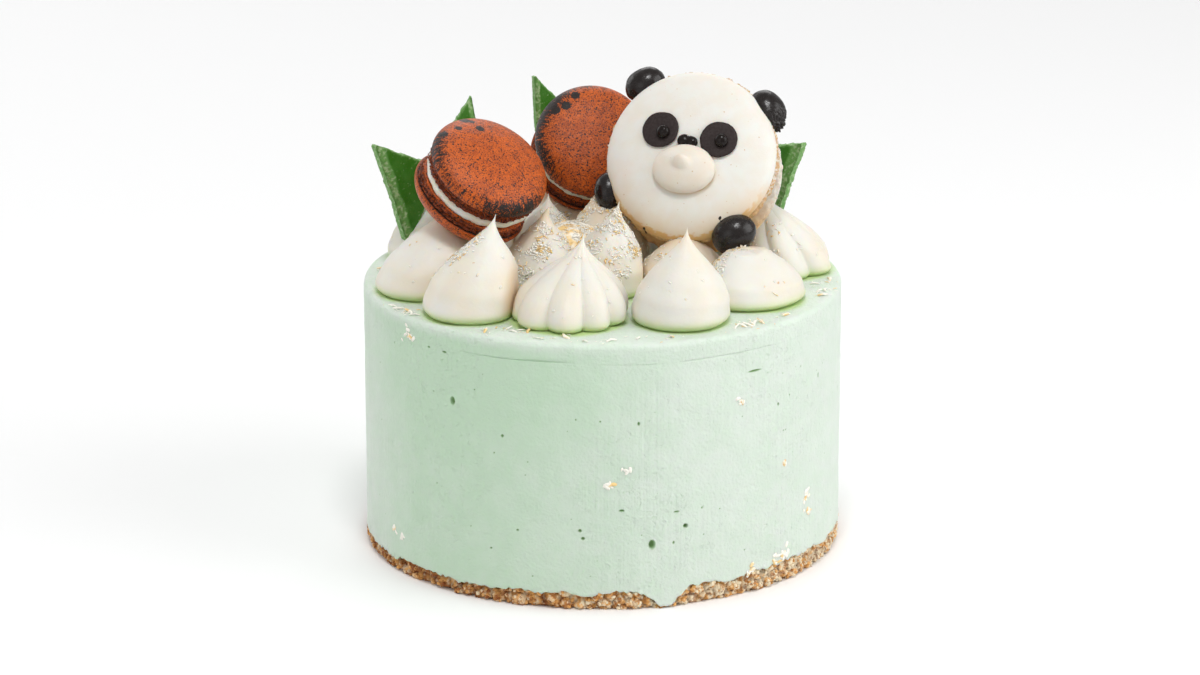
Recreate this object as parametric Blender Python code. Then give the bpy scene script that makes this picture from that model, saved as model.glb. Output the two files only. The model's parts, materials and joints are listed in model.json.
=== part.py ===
"""A round pandan mousse cake on a crumb base, dressed with piped cream, macarons, a panda macaron and green shards.

Everything is in metres, +Z up. The origin is the centre of the underside, and the front faces -Y.
"""

import math
import random
from typing import NamedTuple

import bmesh
import bpy
from mathutils import Matrix, Vector, noise

MM = 0.001

# The gap that touching pieces keep
GAP = 0.3 * MM

# The mousse drum and the crumb base under it
CAKE_RADIUS = 75 * MM
CAKE_TOP = 84.6 * MM
RIM_ROUND = 3.0 * MM
CAKE_SIDES = 96
BASE_THICKNESS = 5.2 * MM
BASE_CRAG = 1.5 * MM
BASE_FLAT_RADIUS = 0.85 * CAKE_RADIUS
CRUMB_INSET = 1.2 * MM
DRIP_ANGLE = math.radians(-75.4)
DRIP_WIDTH = math.radians(3.2)

# Coconut flakes, and the drift of them that lies in the valley between the inner drops of cream
FLAKE_LENGTH = 4.2 * MM
FLAKE_WIDTH = 1.3 * MM
FLAKE_THICKNESS = 0.8 * MM
RIM_FLAKES = 18
FLAKE_SEED = 5
DRIFT_AT = (-8.0, -3.0)
DRIFT_RADIUS = 12.5 * MM
DRIFT_HEIGHT = 17.0 * MM
DRIFT_FOOT = 5.0 * MM
DRIFT_FLAKES = 14


class Kiss(NamedTuple):
    """A piped drop of cream: its foot's centre, radius, height and the way its tip leans, in millimetres.

    peak is how fast it draws in towards its tip: a low value is a blunt drop.
    """

    name: str
    x: float
    y: float
    radius: float
    height: float
    lean_x: float = 0.0
    lean_y: float = 0.0
    peak: float = 1.35
    lobes: int = 0
    sides: int = 20
    flakes: tuple = ()


# The flakes are pairs: the direction on the kiss in degrees, and the share of its height.
KISSES = (
    Kiss("cream_front_left_side", -56.4, -12.9, 14.9, 28, 11, 5, flakes=((-60, 0.5), (-35, 0.62))),
    Kiss("cream_front_left", -39.9, -39.2, 15.0, 30.5, 7.5, 2, flakes=((165, 0.62), (150, 0.5), (20, 0.55))),
    Kiss("cream_star_front", -10.6, -45.6, 18.4, 25, 5, 5, lobes=9, sides=36),
    Kiss("cream_front_right", 23.6, -47.0, 15.0, 29, 2, 0, flakes=((170, 0.55), (-75, 0.6))),
    Kiss("cream_right", 46.3, -26.0, 16.2, 17.5, -3, 4, 0.45, flakes=((-110, 0.5), (-60, 0.45))),
    Kiss("cream_star_right", 56.6, 8.4, 16.3, 24, -7, 2, 1.0, lobes=8, sides=32),
    Kiss("cream_back_right", 45.0, 37.0, 14.6, 28, -3, -3, sides=16),
    Kiss("cream_star_back", 21.5, 53.0, 15.6, 24, -1, -4, lobes=9, sides=27),
    Kiss("cream_back", -11.0, 56.0, 14.8, 28, -1, -1, sides=16),
    Kiss("cream_star_back_left", -34.5, 45.5, 15.2, 24, 3, -3, lobes=8, sides=24),
    Kiss("cream_left_side", -54.0, 21.5, 14.6, 26, 4, -1),
    Kiss("cream_inner_left", -18.6, -12.0, 14.0, 25.5, 1, 0, flakes=((-62, 0.35), (-85, 0.6), (-100, 0.4))),
    Kiss("cream_inner_front", 0.2, -17.0, 13.5, 29, 5, 0, flakes=((-95, 0.55), (-60, 0.4), (-30, 0.6))),
    Kiss("cream_inner_mid", 1.6, 5.0, 14.0, 31, 0.5, 0, 0.9),
    Kiss("cream_inner_right", 25.0, -13.5, 14.5, 21, 1, 1),
    Kiss("cream_inner_mid_left", -18.0, 10.0, 13.5, 24, 1, 0, sides=14),
    Kiss("cream_inner_far_left", -37.0, 12.0, 13.5, 26, 2, 0, sides=14),
    Kiss("cream_inner_back", -13.5, 34.0, 14.0, 27, -1, -1, sides=14),
    Kiss("cream_inner_back_right", 25.5, 21.5, 14.5, 25, 0, 0, sides=14),
)

# Heights of a kiss's rings, as shares of its height
KISS_LEVELS = (0.0, 0.07, 0.2, 0.36, 0.52, 0.68, 0.84)
LOBE_DEPTH = 0.2


class Macaron(NamedTuple):
    """A sandwich of two domed shells. The centre is the middle of the front shell's widest ring, in millimetres."""

    name: str
    centre: tuple
    normal: tuple
    radius: float
    back_radius: float
    dome: float
    foot: float
    filling: float
    splay: float
    splay_angle: float
    slip: float


COCOA_LEFT = Macaron(
    "cocoa_left", (-35.1, -12.0, 122.2), (0.416, -0.460, 0.785), 19.2, 19.0, 6.8, 3.2, 3.6, 8.0, 200.0, 1.6
)
COCOA_BACK = Macaron(
    "cocoa_back", (-3.0, 28.0, 120.4), (0.14, -0.82, 0.555), 18.6, 18.4, 6.6, 3.0, 3.6, 3.0, 250.0, 1.6
)
PANDA = Macaron(
    "panda", (27.9, 0.0, 122.4), (-0.235, -0.814, 0.532), 27.5, 26.2, 7.0, 3.2, 4.2, 3.0, 285.0, 2.0
)
MACARON_SIDES = 28
DOME_POWER = 2.6
FILLING_SHARE = 0.88

# The panda's features: their places on its face, across and up from its middle
EYE_PATCHES = (("left", -9.4 * MM, 6.5 * MM), ("right", 9.6 * MM, 4.6 * MM))
EYE_PATCH_RADIUS = 5.9 * MM
EYE_PATCH_THICKNESS = 0.7 * MM
PUPILS = (("left", -8.2 * MM, 5.5 * MM), ("right", 10.6 * MM, 4.0 * MM))
PUPIL_RADIUS = 2.3 * MM
PUPIL_HEIGHT = 2.2 * MM
NOSE_AT = (-0.1 * MM, 3.1 * MM)
NOSE_RADII = (3.3 * MM, 2.2 * MM)
NOSE_HEIGHT = 1.6 * MM
MUZZLE_AT = (0.2 * MM, -6.0 * MM)
MUZZLE_RADII = (9.5 * MM, 8.3 * MM)
MUZZLE_HEIGHT = 7.5 * MM
MUZZLE_LEAN = (-0.8 * MM, 2.6 * MM)


class Drop(NamedTuple):
    """A black chocolate drop at the panda's rim: where its foot is on the face frame, and its size, in millimetres."""

    name: str
    across: float
    up: float
    out: float
    radius: float
    height: float
    stretch: float
    turn: float


DROPS = (
    Drop("ear_left", -19.6, 24.4, -5.0, 5.6, 6.5, 1.2, 35),
    Drop("ear_right", 20.9, 18.2, -5.0, 6.1, 6.8, 1.2, -55),
    Drop("paw_left", -26.4, -11.6, -3.6, 4.6, 5.8, 1.35, 100),
    Drop("paw_right", 17.0, -23.2, -1.6, 6.0, 7.4, 1.2, 35),
)


class Shard(NamedTuple):
    """A flat triangular shard of green chocolate: the corners of its front face, in millimetres, and its thickness."""

    name: str
    tip: tuple
    side: tuple
    point: tuple
    thickness: float


SHARDS = (
    Shard("shard_left", (-70.8, 3.0, 126.0), (-51.0, 18.2, 115.0), (-60.6, 10.9, 89.0), 3.2),
    Shard("shard_back_left", (-41.2, 19.5, 138.0), (-53.5, 17.0, 119.0), (-34.0, 17.5, 97.0), 2.6),
    Shard("shard_back", (-21.7, 50.0, 136.8), (-6.3, 58.0, 118.8), (-20.2, 50.6, 93.0), 2.6),
    Shard("shard_right", (62.6, 14.0, 123.6), (46.5, 27.0, 119.0), (53.5, 21.0, 93.0), 3.4),
)

# Colours are linear RGB
MINT = (0.58, 0.76, 0.56)
CRUMB = (0.46, 0.25, 0.10)
CREAM = (0.86, 0.83, 0.74)
COCOA = (0.42, 0.10, 0.035)
FILLING = (0.80, 0.70, 0.52)
SHELL_WHITE = (0.80, 0.77, 0.66)
BLACK = (0.022, 0.017, 0.018)
GREEN = (0.06, 0.20, 0.03)
COCONUT = (0.83, 0.72, 0.50)


def clear_scene():
    for old in list(bpy.data.objects):
        bpy.data.objects.remove(old)


def finish_of(name, colour, roughness):
    """The plain material of that name, made once."""
    made = bpy.data.materials.get(name)
    if made is None:
        made = bpy.data.materials.new(name)
        made.use_nodes = True
        shader = made.node_tree.nodes["Principled BSDF"]
        shader.inputs["Base Color"].default_value = (*colour, 1.0)
        shader.inputs["Roughness"].default_value = roughness
        shader.inputs["Metallic"].default_value = 0.0
    return made


def skinned(name, rings, material):
    """A closed object over rings of points. A ring of one point is a pole, and an end ring is capped.

    Every four-sided gap between two rings is split the same way, so surfaces that share their rings never cross.
    """
    shape = bmesh.new()
    rows = [[shape.verts.new(p) for p in ring] for ring in rings]
    for low, high in zip(rows, rows[1:]):
        count = max(len(low), len(high))
        for i in range(count):
            j = (i + 1) % count
            if len(low) == 1:
                shape.faces.new((low[0], high[j], high[i]))
            elif len(high) == 1:
                shape.faces.new((low[i], low[j], high[0]))
            else:
                shape.faces.new((low[i], low[j], high[j]))
                shape.faces.new((low[i], high[j], high[i]))
    if len(rows[0]) > 1:
        shape.faces.new(list(reversed(rows[0])))
    if len(rows[-1]) > 1:
        shape.faces.new(rows[-1])
    bmesh.ops.recalc_face_normals(shape, faces=shape.faces)
    mesh = bpy.data.meshes.new(name)
    shape.to_mesh(mesh)
    shape.free()
    mesh.shade_smooth()
    mesh.set_sharp_from_angle(angle=math.radians(50))
    made = bpy.data.objects.new(name, mesh)
    made.data.materials.append(material)
    bpy.context.scene.collection.objects.link(made)
    return made


def turned(name, profile, sides, material, stretch=1.0, lean=(0.0, 0.0)):
    """A solid of revolution about Z from (radius, height) pairs; a radius of zero is a pole.

    stretch widens it along X, and lean shifts its top sideways.
    """
    rings = []
    top = profile[-1][1]
    for radius, height in profile:
        shift = Vector((*lean, 0)) * max(0.0, height / top) ** 2
        if radius <= 0:
            rings.append([shift + Vector((0, 0, height))])
            continue
        angles = [math.tau * i / sides for i in range(sides)]
        ring = [Vector((stretch * radius * math.cos(a), radius * math.sin(a), height)) for a in angles]
        rings.append([shift + spot for spot in ring])
    return skinned(name, rings, material)


def facing(centre, normal):
    """A frame at centre whose +Z points along normal and whose +Y is as near to world up as it can be."""
    out = Vector(normal).normalized()
    up = (Vector((0, 0, 1)) - out.z * out).normalized()
    across = up.cross(out)
    turn = Matrix((across, up, out)).transposed().to_4x4()
    return Matrix.Translation(centre) @ turn


def hide_as_cutter(cutter):
    cutter.hide_render = True
    cutter.display_type = "WIRE"


def join_and_cut(target, additions, cutters):
    """Joins the additions to target, cuts the cutters from it, applies both and drops any loose scrap."""
    if additions:
        group = bpy.data.collections.new(f"{target.name} additions")
        for piece in additions:
            group.objects.link(piece)
            bpy.context.scene.collection.objects.unlink(piece)
        bpy.context.scene.collection.children.link(group)
        join = target.modifiers.new("join", "BOOLEAN")
        join.operation = "UNION"
        join.operand_type = "COLLECTION"
        join.collection = group
    for cutter in cutters:
        cut = target.modifiers.new(f"cut {cutter.name}", "BOOLEAN")
        cut.operation = "DIFFERENCE"
        cut.object = cutter
    graph = bpy.context.evaluated_depsgraph_get()
    target.data = bpy.data.meshes.new_from_object(target.evaluated_get(graph))
    target.modifiers.clear()
    for piece in additions:
        bpy.data.objects.remove(piece)
    if additions:
        bpy.data.collections.remove(group)
    drop_scraps(target)
    target.data.shade_smooth()
    target.data.set_sharp_from_angle(angle=math.radians(40))


def drop_scraps(target):
    """Keeps only the largest of the loose parts of a mesh."""
    shape = bmesh.new()
    shape.from_mesh(target.data)
    seen, islands = set(), []
    for first in shape.verts:
        if first in seen:
            continue
        seen.add(first)
        island, waiting = [], [first]
        while waiting:
            vertex = waiting.pop()
            island.append(vertex)
            near = [edge.other_vert(vertex) for edge in vertex.link_edges]
            fresh = [other for other in near if other not in seen]
            seen.update(fresh)
            waiting.extend(fresh)
        islands.append(island)
    kept = max(islands, key=len)
    scraps = [vertex for island in islands if island is not kept for vertex in island]
    bmesh.ops.delete(shape, geom=scraps, context="VERTS")
    shape.to_mesh(target.data)
    shape.free()


def copy_as_cutter(piece):
    """A cutter like the piece, pushed out along its normals by rather more than the gap."""
    cutter = piece.copy()
    cutter.data = piece.data.copy()
    cutter.name = f"{piece.name} room"
    bpy.context.scene.collection.objects.link(cutter)
    for vertex in cutter.data.vertices:
        vertex.co += vertex.normal * 1.4 * GAP
    hide_as_cutter(cutter)
    return cutter


def edge_height(angle):
    """The height, at the drum's side, of the ragged line between crumb base and mousse."""
    point = Vector((math.cos(angle), math.sin(angle), 0))
    crag = noise.noise(point * 9.0) + 0.7 * noise.noise(point * 24.0)
    height = BASE_THICKNESS + BASE_CRAG * (crag + 0.6 * math.cos(angle))
    from_drip = (angle - DRIP_ANGLE + math.pi) % math.tau - math.pi
    if abs(from_drip) < DRIP_WIDTH:
        return 0.6 * MM
    return max(height, 1.6 * MM)


def seam_point(radius, angle, offset):
    """A point of the surface where crumb base and mousse meet, raised by offset."""
    share = max(0.0, (radius - BASE_FLAT_RADIUS) / (CAKE_RADIUS - BASE_FLAT_RADIUS))
    height = BASE_THICKNESS + share * (edge_height(angle) - BASE_THICKNESS)
    return Vector((radius * math.cos(angle), radius * math.sin(angle), height + offset))


def level_ring(radius, height):
    angles = [math.tau * i / CAKE_SIDES for i in range(CAKE_SIDES)]
    return [Vector((radius * math.cos(a), radius * math.sin(a), height)) for a in angles]


def crumb_base():
    """The baked crumb disc, with crags all round its edge."""
    angles = [math.tau * i / CAKE_SIDES for i in range(CAKE_SIDES)]

    def side_ring(share, inset):
        ring = []
        for angle in angles:
            top = edge_height(angle) - GAP / 2
            height = share * top
            spot = Vector((math.cos(angle), math.sin(angle), share * 0.2))
            crag = noise.noise(spot * 19.0) + 0.8 * noise.noise(spot * 40.0)
            radius = CAKE_RADIUS - inset + 1.1 * MM * min(crag, 0.8)
            ring.append(Vector((radius * math.cos(angle), radius * math.sin(angle), height)))
        return ring

    top_ring = [seam_point(CAKE_RADIUS - CRUMB_INSET, angle, -GAP / 2) for angle in angles]
    inner_ring = [seam_point(BASE_FLAT_RADIUS, angle, -GAP / 2) for angle in angles]
    rings = [side_ring(0.0, 2.2 * MM), side_ring(0.3, 1.0 * MM), side_ring(0.75, 0.9 * MM), top_ring, inner_ring]
    return skinned("crumb_base", rings, finish_of("crumb", CRUMB, 0.85))


def flake(name, seed):
    """A small bent sliver of coconut, lying along X and centred on the origin."""
    draw = random.Random(seed)
    length = FLAKE_LENGTH * draw.uniform(0.75, 1.3)
    width = FLAKE_WIDTH * draw.uniform(0.8, 1.2)
    rings = []
    for along, bend, share in ((-0.5, 0.0, 0.7), (0.0, 0.25, 1.0), (0.5, 0.0, 0.6)):
        half, low = width * share / 2, bend * width - FLAKE_THICKNESS / 2
        corners = ((-half, low), (half, low), (half, low + FLAKE_THICKNESS), (-half, low + FLAKE_THICKNESS))
        rings.append([Vector((along * length, y, z)) for y, z in corners])
    return skinned(name, rings, finish_of("coconut", COCONUT, 0.7))


def rim_flakes():
    """Flakes lying on the open border of the cake's top, clear of the cream."""
    draw = random.Random(FLAKE_SEED)
    made = []
    while len(made) < RIM_FLAKES:
        angle = draw.uniform(0, math.tau)
        radius = draw.uniform(0.84, 0.95) * CAKE_RADIUS
        spot = Vector((radius * math.cos(angle), radius * math.sin(angle), CAKE_TOP))
        clear = all(
            (spot.xy - Vector((k.x, k.y)) * MM).length > k.radius * MM + 0.75 * FLAKE_LENGTH for k in KISSES
        )
        apart = all((spot - other.location).length > 1.6 * FLAKE_LENGTH for other in made)
        if not (clear and apart):
            continue
        piece = flake(f"rim flake {len(made)}", len(made))
        piece.location = spot
        piece.rotation_euler = (draw.uniform(-0.3, 0.3), draw.uniform(-0.15, 0.15), draw.uniform(0, math.pi))
        made.append(piece)
    return made


def mousse_drum():
    """The mint mousse: a drum with a rounded rim, whose lower edge laps the crumb base."""
    angles = [math.tau * i / CAKE_SIDES for i in range(CAKE_SIDES)]
    top = CAKE_TOP - GAP / 2
    rings = [
        level_ring(CAKE_RADIUS - RIM_ROUND, top),
        level_ring(CAKE_RADIUS - 0.3 * RIM_ROUND, top - 0.3 * RIM_ROUND),
        level_ring(CAKE_RADIUS, top - RIM_ROUND),
    ]
    for radius in (CAKE_RADIUS, CAKE_RADIUS - CRUMB_INSET, BASE_FLAT_RADIUS):
        rings.append([seam_point(radius, angle, GAP / 2) for angle in angles])
    drum = skinned("mousse_drum", rings, finish_of("mousse", MINT, 0.45))
    join_and_cut(drum, rim_flakes(), [])
    return drum


def kiss_share(level, peak):
    """A kiss's radius at a share of its height: a full foot that draws in to its tip."""
    full = math.cos(math.pi / 2 * level) ** (0.35 + peak * level)
    undercut = 0.1 * max(0.0, 1 - level / 0.07) ** 2
    return full * (1 - undercut)


def lobe_share(kiss, angle, level):
    """How far the star nozzle's grooves draw the cream in at that angle."""
    if not kiss.lobes:
        return 1.0
    wave = abs(math.sin(kiss.lobes * angle / 2 + 0.5 * level)) ** 0.7
    return 1 - LOBE_DEPTH * (1 - level) ** 0.4 * (1 - wave)


def kiss_lean(kiss, level):
    """How far the middle of a kiss has moved sideways at a share of its height."""
    return Vector((kiss.lean_x, kiss.lean_y)) * MM * level**1.4


def kiss_point(kiss, angle, level, grow=0.0):
    """A point on a kiss pushed out by grow, pressed flat where it meets each of its neighbours."""
    foot = Vector((kiss.x, kiss.y)) * MM
    lean = kiss_lean(kiss, level)
    radius = kiss.radius * MM * kiss_share(level, kiss.peak) * lobe_share(kiss, angle, level) + grow
    reach = Vector((math.cos(angle), math.sin(angle))) * radius
    for other in KISSES:
        between = Vector((other.x, other.y)) * MM - foot
        distance = between.length
        if other is kiss or distance > (kiss.radius + other.radius) * MM:
            continue
        towards = between / distance
        squares = (kiss.radius * MM) ** 2 - (other.radius * MM) ** 2
        wall = (distance**2 + squares) / (2 * distance) - GAP / 2 + grow
        room = wall - lean.dot(towards)
        if reach.dot(towards) > room:
            reach *= max(room, 0.0) / reach.dot(towards)
    spot = foot + lean + reach
    return Vector((spot.x, spot.y, kiss_height(kiss, level, grow)))


def kiss_height(kiss, level, grow):
    return CAKE_TOP + GAP / 2 + level * kiss.height * MM + grow * (3 * level - 1)


def kiss_flake(kiss, direction, level, seed):
    """A flake half sunk in a kiss's flank, lying along the slope."""
    angle = math.radians(direction)
    spot = kiss_point(kiss, angle, level)
    slope = (kiss_point(kiss, angle, level + 0.05) - kiss_point(kiss, angle, level - 0.05)).normalized()
    round_it = (kiss_point(kiss, angle + 0.1, level) - kiss_point(kiss, angle - 0.1, level)).normalized()
    out = round_it.cross(slope)
    piece = flake(f"{kiss.name} flake {seed}", seed + 40)
    twist = Matrix.Rotation(0.9 * seed, 4, "Z")
    frame = Matrix((round_it, out.cross(round_it), out)).transposed().to_4x4()
    piece.matrix_world = Matrix.Translation(spot) @ frame @ twist
    return piece


def kiss_solid(name, kiss, material, grow=0.0):
    """The plain solid of a kiss, pushed out all round by grow."""
    angles = [math.tau * i / kiss.sides for i in range(kiss.sides)]
    rings = [[kiss_point(kiss, angle, level, grow) for angle in angles] for level in KISS_LEVELS]
    tip = Vector((kiss.x, kiss.y)) * MM + kiss_lean(kiss, 1.0)
    rings.append([Vector((tip.x, tip.y, kiss_height(kiss, 1.0, grow)))])
    return skinned(name, rings, material)


def piped_cream(kiss, cutters):
    """One piped drop, with its flakes joined on and whatever presses into it cut away."""
    drop = kiss_solid(kiss.name, kiss, finish_of("cream", CREAM, 0.5))
    flakes = [kiss_flake(kiss, *spot, seed) for seed, spot in enumerate(kiss.flakes)]
    bpy.context.view_layer.update()
    near = [cutter for cutter in cutters if boxes_meet(drop, cutter)]
    if near or flakes:
        join_and_cut(drop, flakes, near)
    return drop


def coconut_drift(cutters):
    """The heap of coconut between the inner drops: a low mound, with flakes fused all over its top."""
    middle = Vector((*DRIFT_AT, 0)) * MM + Vector((0, 0, CAKE_TOP))
    rings = [[middle + Vector((0, 0, DRIFT_FOOT))]]
    sides = 18
    for share, height in ((0.75, 0.36), (1.0, 0.55), (0.85, 0.78), (0.5, 0.94)):
        ring = []
        for i in range(sides):
            angle = math.tau * i / sides
            spot = Vector((math.cos(angle), math.sin(angle), 0)) * DRIFT_RADIUS * share
            lump = noise.noise(spot * 350.0) * 1.2 * MM
            ring.append(middle + spot + Vector((0, 0, height * DRIFT_HEIGHT + lump)))
        rings.append(ring)
    rings.append([middle + Vector((0, 0, DRIFT_HEIGHT))])
    drift = skinned("coconut_drift", rings, finish_of("coconut", COCONUT, 0.7))
    draw = random.Random(FLAKE_SEED)
    flakes = []
    for number in range(DRIFT_FLAKES):
        angle = number * 2.4
        reach = DRIFT_RADIUS * 0.8 * math.sqrt((number + 0.5) / DRIFT_FLAKES)
        piece = flake(f"drift flake {number}", number + 80)
        lift = DRIFT_HEIGHT * (1 - 0.2 * (reach / DRIFT_RADIUS) ** 2)
        piece.location = middle + Vector((reach * math.cos(angle), reach * math.sin(angle), lift))
        piece.rotation_euler = (draw.uniform(-0.5, 0.5), draw.uniform(-0.5, 0.5), draw.uniform(0, math.pi))
        flakes.append(piece)
    bpy.context.view_layer.update()
    join_and_cut(drift, flakes, [cutter for cutter in cutters if boxes_meet(drift, cutter)])


def box_of(thing):
    points = [thing.matrix_world @ v.co for v in thing.data.vertices]
    return [(min(p[i] for p in points), max(p[i] for p in points)) for i in range(3)]


def boxes_meet(one, other):
    return all(a[0] < b[1] and b[0] < a[1] for a, b in zip(box_of(one), box_of(other)))


def dome_height(macaron, share):
    """The height of a shell's dome over its widest ring, at that share of its radius."""
    return macaron.dome * MM * math.sqrt(max(0.0, 1 - min(1.0, share) ** DOME_POWER))


def shell_profile(macaron, radius):
    """A shell's outline from its flat underside, over the frilled foot and the skirt, to the top of the dome."""
    foot = macaron.foot * MM
    outline = [(0.91 * radius, -foot), (0.965 * radius, -0.55 * foot), (0.935 * radius, -0.18 * foot)]
    for share in (1.0, 0.97, 0.88, 0.66, 0.36):
        outline.append((share * radius, dome_height(macaron, share)))
    outline.append((0.0, macaron.dome * MM))
    return outline


def front_frame(macaron):
    return facing(Vector(macaron.centre) * MM, macaron.normal)


def back_frame(macaron):
    """The frame of the back shell: turned to face away, slipped sideways and splayed open on one side."""
    direction = math.radians(macaron.splay_angle)
    way = Vector((math.cos(direction), math.sin(direction), 0))
    hinge = Vector((-way.y, way.x, 0))
    tilt = math.radians(macaron.splay)
    drop = (2 * macaron.foot + macaron.filling) * MM + macaron.radius * MM * math.tan(tilt)
    place = Matrix.Translation(way * macaron.slip * MM + Vector((0, 0, -drop)))
    return front_frame(macaron) @ place @ Matrix.Rotation(-tilt, 4, hinge) @ Matrix.Rotation(math.pi, 4, "Y")


def macaron_shell(name, macaron, radius, frame, material):
    shell = turned(name, shell_profile(macaron, radius * MM), MACARON_SIDES, material)
    shell.matrix_world = frame
    return shell


def macaron_filling(macaron):
    """The disc of filling stuck to the front shell, a little smaller than the shells."""
    radius = FILLING_SHARE * macaron.radius * MM
    top = -macaron.foot * MM - GAP
    bottom = -(macaron.foot + macaron.filling) * MM + GAP
    middle = (top + bottom) / 2
    profile = [(0.97 * radius, bottom), (radius, middle), (0.97 * radius, top)]
    filling = turned(f"{macaron.name}_filling", profile, MACARON_SIDES - 8, finish_of("filling", FILLING, 0.55))
    filling.matrix_world = front_frame(macaron)
    return filling


def macaron_rooms(macaron):
    """Two cutters that together clear the whole macaron by the gap."""
    rooms = []
    sides = (("front", macaron.radius, front_frame(macaron)), ("back", macaron.back_radius, back_frame(macaron)))
    for side, radius, frame in sides:
        dome = [(r + GAP, z + GAP) for r, z in shell_profile(macaron, radius * MM) if z >= 0]
        dome[-1] = (0.0, dome[-1][1])
        room = turned(f"{macaron.name} {side} room", [(dome[0][0], -2 * macaron.foot * MM)] + dome, 24, None)
        room.matrix_world = frame
        hide_as_cutter(room)
        rooms.append(room)
    return rooms


def whole_macaron(macaron, material):
    front, back = front_frame(macaron), back_frame(macaron)
    macaron_shell(f"{macaron.name}_front_shell", macaron, macaron.radius, front, material)
    macaron_shell(f"{macaron.name}_back_shell", macaron, macaron.back_radius, back, material)
    macaron_filling(macaron)


def face_height(reach):
    """The height of the panda's domed face at that distance from its middle."""
    return dome_height(PANDA, reach / (PANDA.radius * MM))


def face_spot(across, up, hover=0.0):
    """A frame on the panda's domed face, in the face's own frame."""
    reach = math.hypot(across, up)
    step = 0.2 * MM
    slope = (face_height(reach + step) - face_height(max(reach - step, 0))) / (2 * step)
    away = Vector((across, up, 0)).normalized()
    out = Vector((-slope * away.x, -slope * away.y, 1)).normalized()
    height = face_height(reach) + hover
    turn = Vector((0, 0, 1)).rotation_difference(out).to_matrix().to_4x4()
    return Matrix.Translation(Vector((across, up, height))) @ turn


def eye_patch(side, across, up, face):
    """A flat black disc laid on the dome, its two faces following the dome's curve."""
    sides = 18

    def ring(radius, lift):
        spots = []
        for i in range(sides):
            angle = math.tau * i / sides
            x, y = across + radius * math.cos(angle), up + radius * math.sin(angle)
            spots.append(Vector((x, y, face_height(math.hypot(x, y)) + lift)))
        return spots

    middle = face_height(math.hypot(across, up))
    low, high = GAP, GAP + EYE_PATCH_THICKNESS
    rings = [
        [Vector((across, up, middle + low))],
        ring(0.94 * EYE_PATCH_RADIUS, low),
        ring(EYE_PATCH_RADIUS, (low + high) / 2),
        ring(0.94 * EYE_PATCH_RADIUS, high),
        [Vector((across, up, middle + high))],
    ]
    patch = skinned(f"panda_eye_patch_{side}", rings, finish_of("black_icing", BLACK, 0.5))
    patch.matrix_world = face


def drop_profile(radius, height):
    """A small piped drop: full at the foot, rounding over to a blunt tip."""
    shares = ((0.93, 0.0), (1.0, 0.22), (0.86, 0.55), (0.5, 0.85))
    return [(r * radius, h * height) for r, h in shares] + [(0.0, height)]


def panda_face(face):
    """The muzzle, nose and pupils, each resting on what is under it."""
    black = finish_of("black_icing", BLACK, 0.3)
    white = finish_of("panda_shell", SHELL_WHITE, 0.6)
    across, up = MUZZLE_RADII
    muzzle = turned("panda_muzzle", drop_profile(up, MUZZLE_HEIGHT), 20, white, across / up, MUZZLE_LEAN)
    muzzle.matrix_world = face @ face_spot(*MUZZLE_AT, GAP)
    across, up = NOSE_RADII
    nose = turned("panda_nose", drop_profile(up, NOSE_HEIGHT), 12, black, across / up)
    nose.matrix_world = face @ face_spot(*NOSE_AT, GAP)
    bpy.context.view_layer.update()
    muzzle_room = copy_as_cutter(muzzle)
    join_and_cut(nose, [], [muzzle_room])
    bpy.data.objects.remove(muzzle_room)
    for side, across, up in PUPILS:
        pupil = turned(f"panda_pupil_{side}", drop_profile(PUPIL_RADIUS, PUPIL_HEIGHT), 10, black)
        pupil.matrix_world = face @ face_spot(across, up, EYE_PATCH_THICKNESS + 2 * GAP)
    for side, across, up in EYE_PATCHES:
        eye_patch(side, across, up, face)


def panda_drop(drop, face, rooms):
    """An ear or a paw: a black drop set against the rim, with the shells' outline cut from it."""
    black = finish_of("black_drop", BLACK, 0.35)
    piece = turned(f"panda_{drop.name}", drop_profile(drop.radius * MM, drop.height * MM), 14, black, drop.stretch)
    place = Matrix.Translation(Vector((drop.across, drop.up, drop.out)) * MM)
    piece.matrix_world = face @ place @ Matrix.Rotation(math.radians(drop.turn), 4, "Z")
    bpy.context.view_layer.update()
    join_and_cut(piece, [], [room for room in rooms if boxes_meet(piece, room)])
    return piece


def panda_macaron(rooms):
    face = front_frame(PANDA)
    whole_macaron(PANDA, finish_of("panda_shell", SHELL_WHITE, 0.6))
    panda_face(face)
    return [panda_drop(drop, face, rooms) for drop in DROPS]


def shard_rings(shard, grow=0.0):
    """The front and back outlines of a shard, the corners a little blunted."""
    corners = [Vector(c) * MM for c in (shard.tip, shard.side, shard.point)]
    middle = sum(corners, Vector()) / 3
    normal = (corners[1] - corners[0]).cross(corners[2] - corners[0]).normalized()
    outline = []
    for i, corner in enumerate(corners):
        before, after = corners[i - 1] - corner, corners[(i + 1) % 3] - corner
        for way in (before, after):
            blunt = corner + way.normalized() * 0.8 * MM
            outline.append(blunt + (blunt - middle).normalized() * grow)
    depth = shard.thickness * MM
    if normal.y > 0:
        normal = -normal
    return [[p + normal * grow for p in outline], [p - normal * (depth + grow) for p in outline]]


def green_shard(shard):
    made = skinned(shard.name, shard_rings(shard), finish_of("green_chocolate", GREEN, 0.55))
    room = skinned(f"{shard.name} room", shard_rings(shard, GAP), None)
    hide_as_cutter(room)
    return made, room


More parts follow.
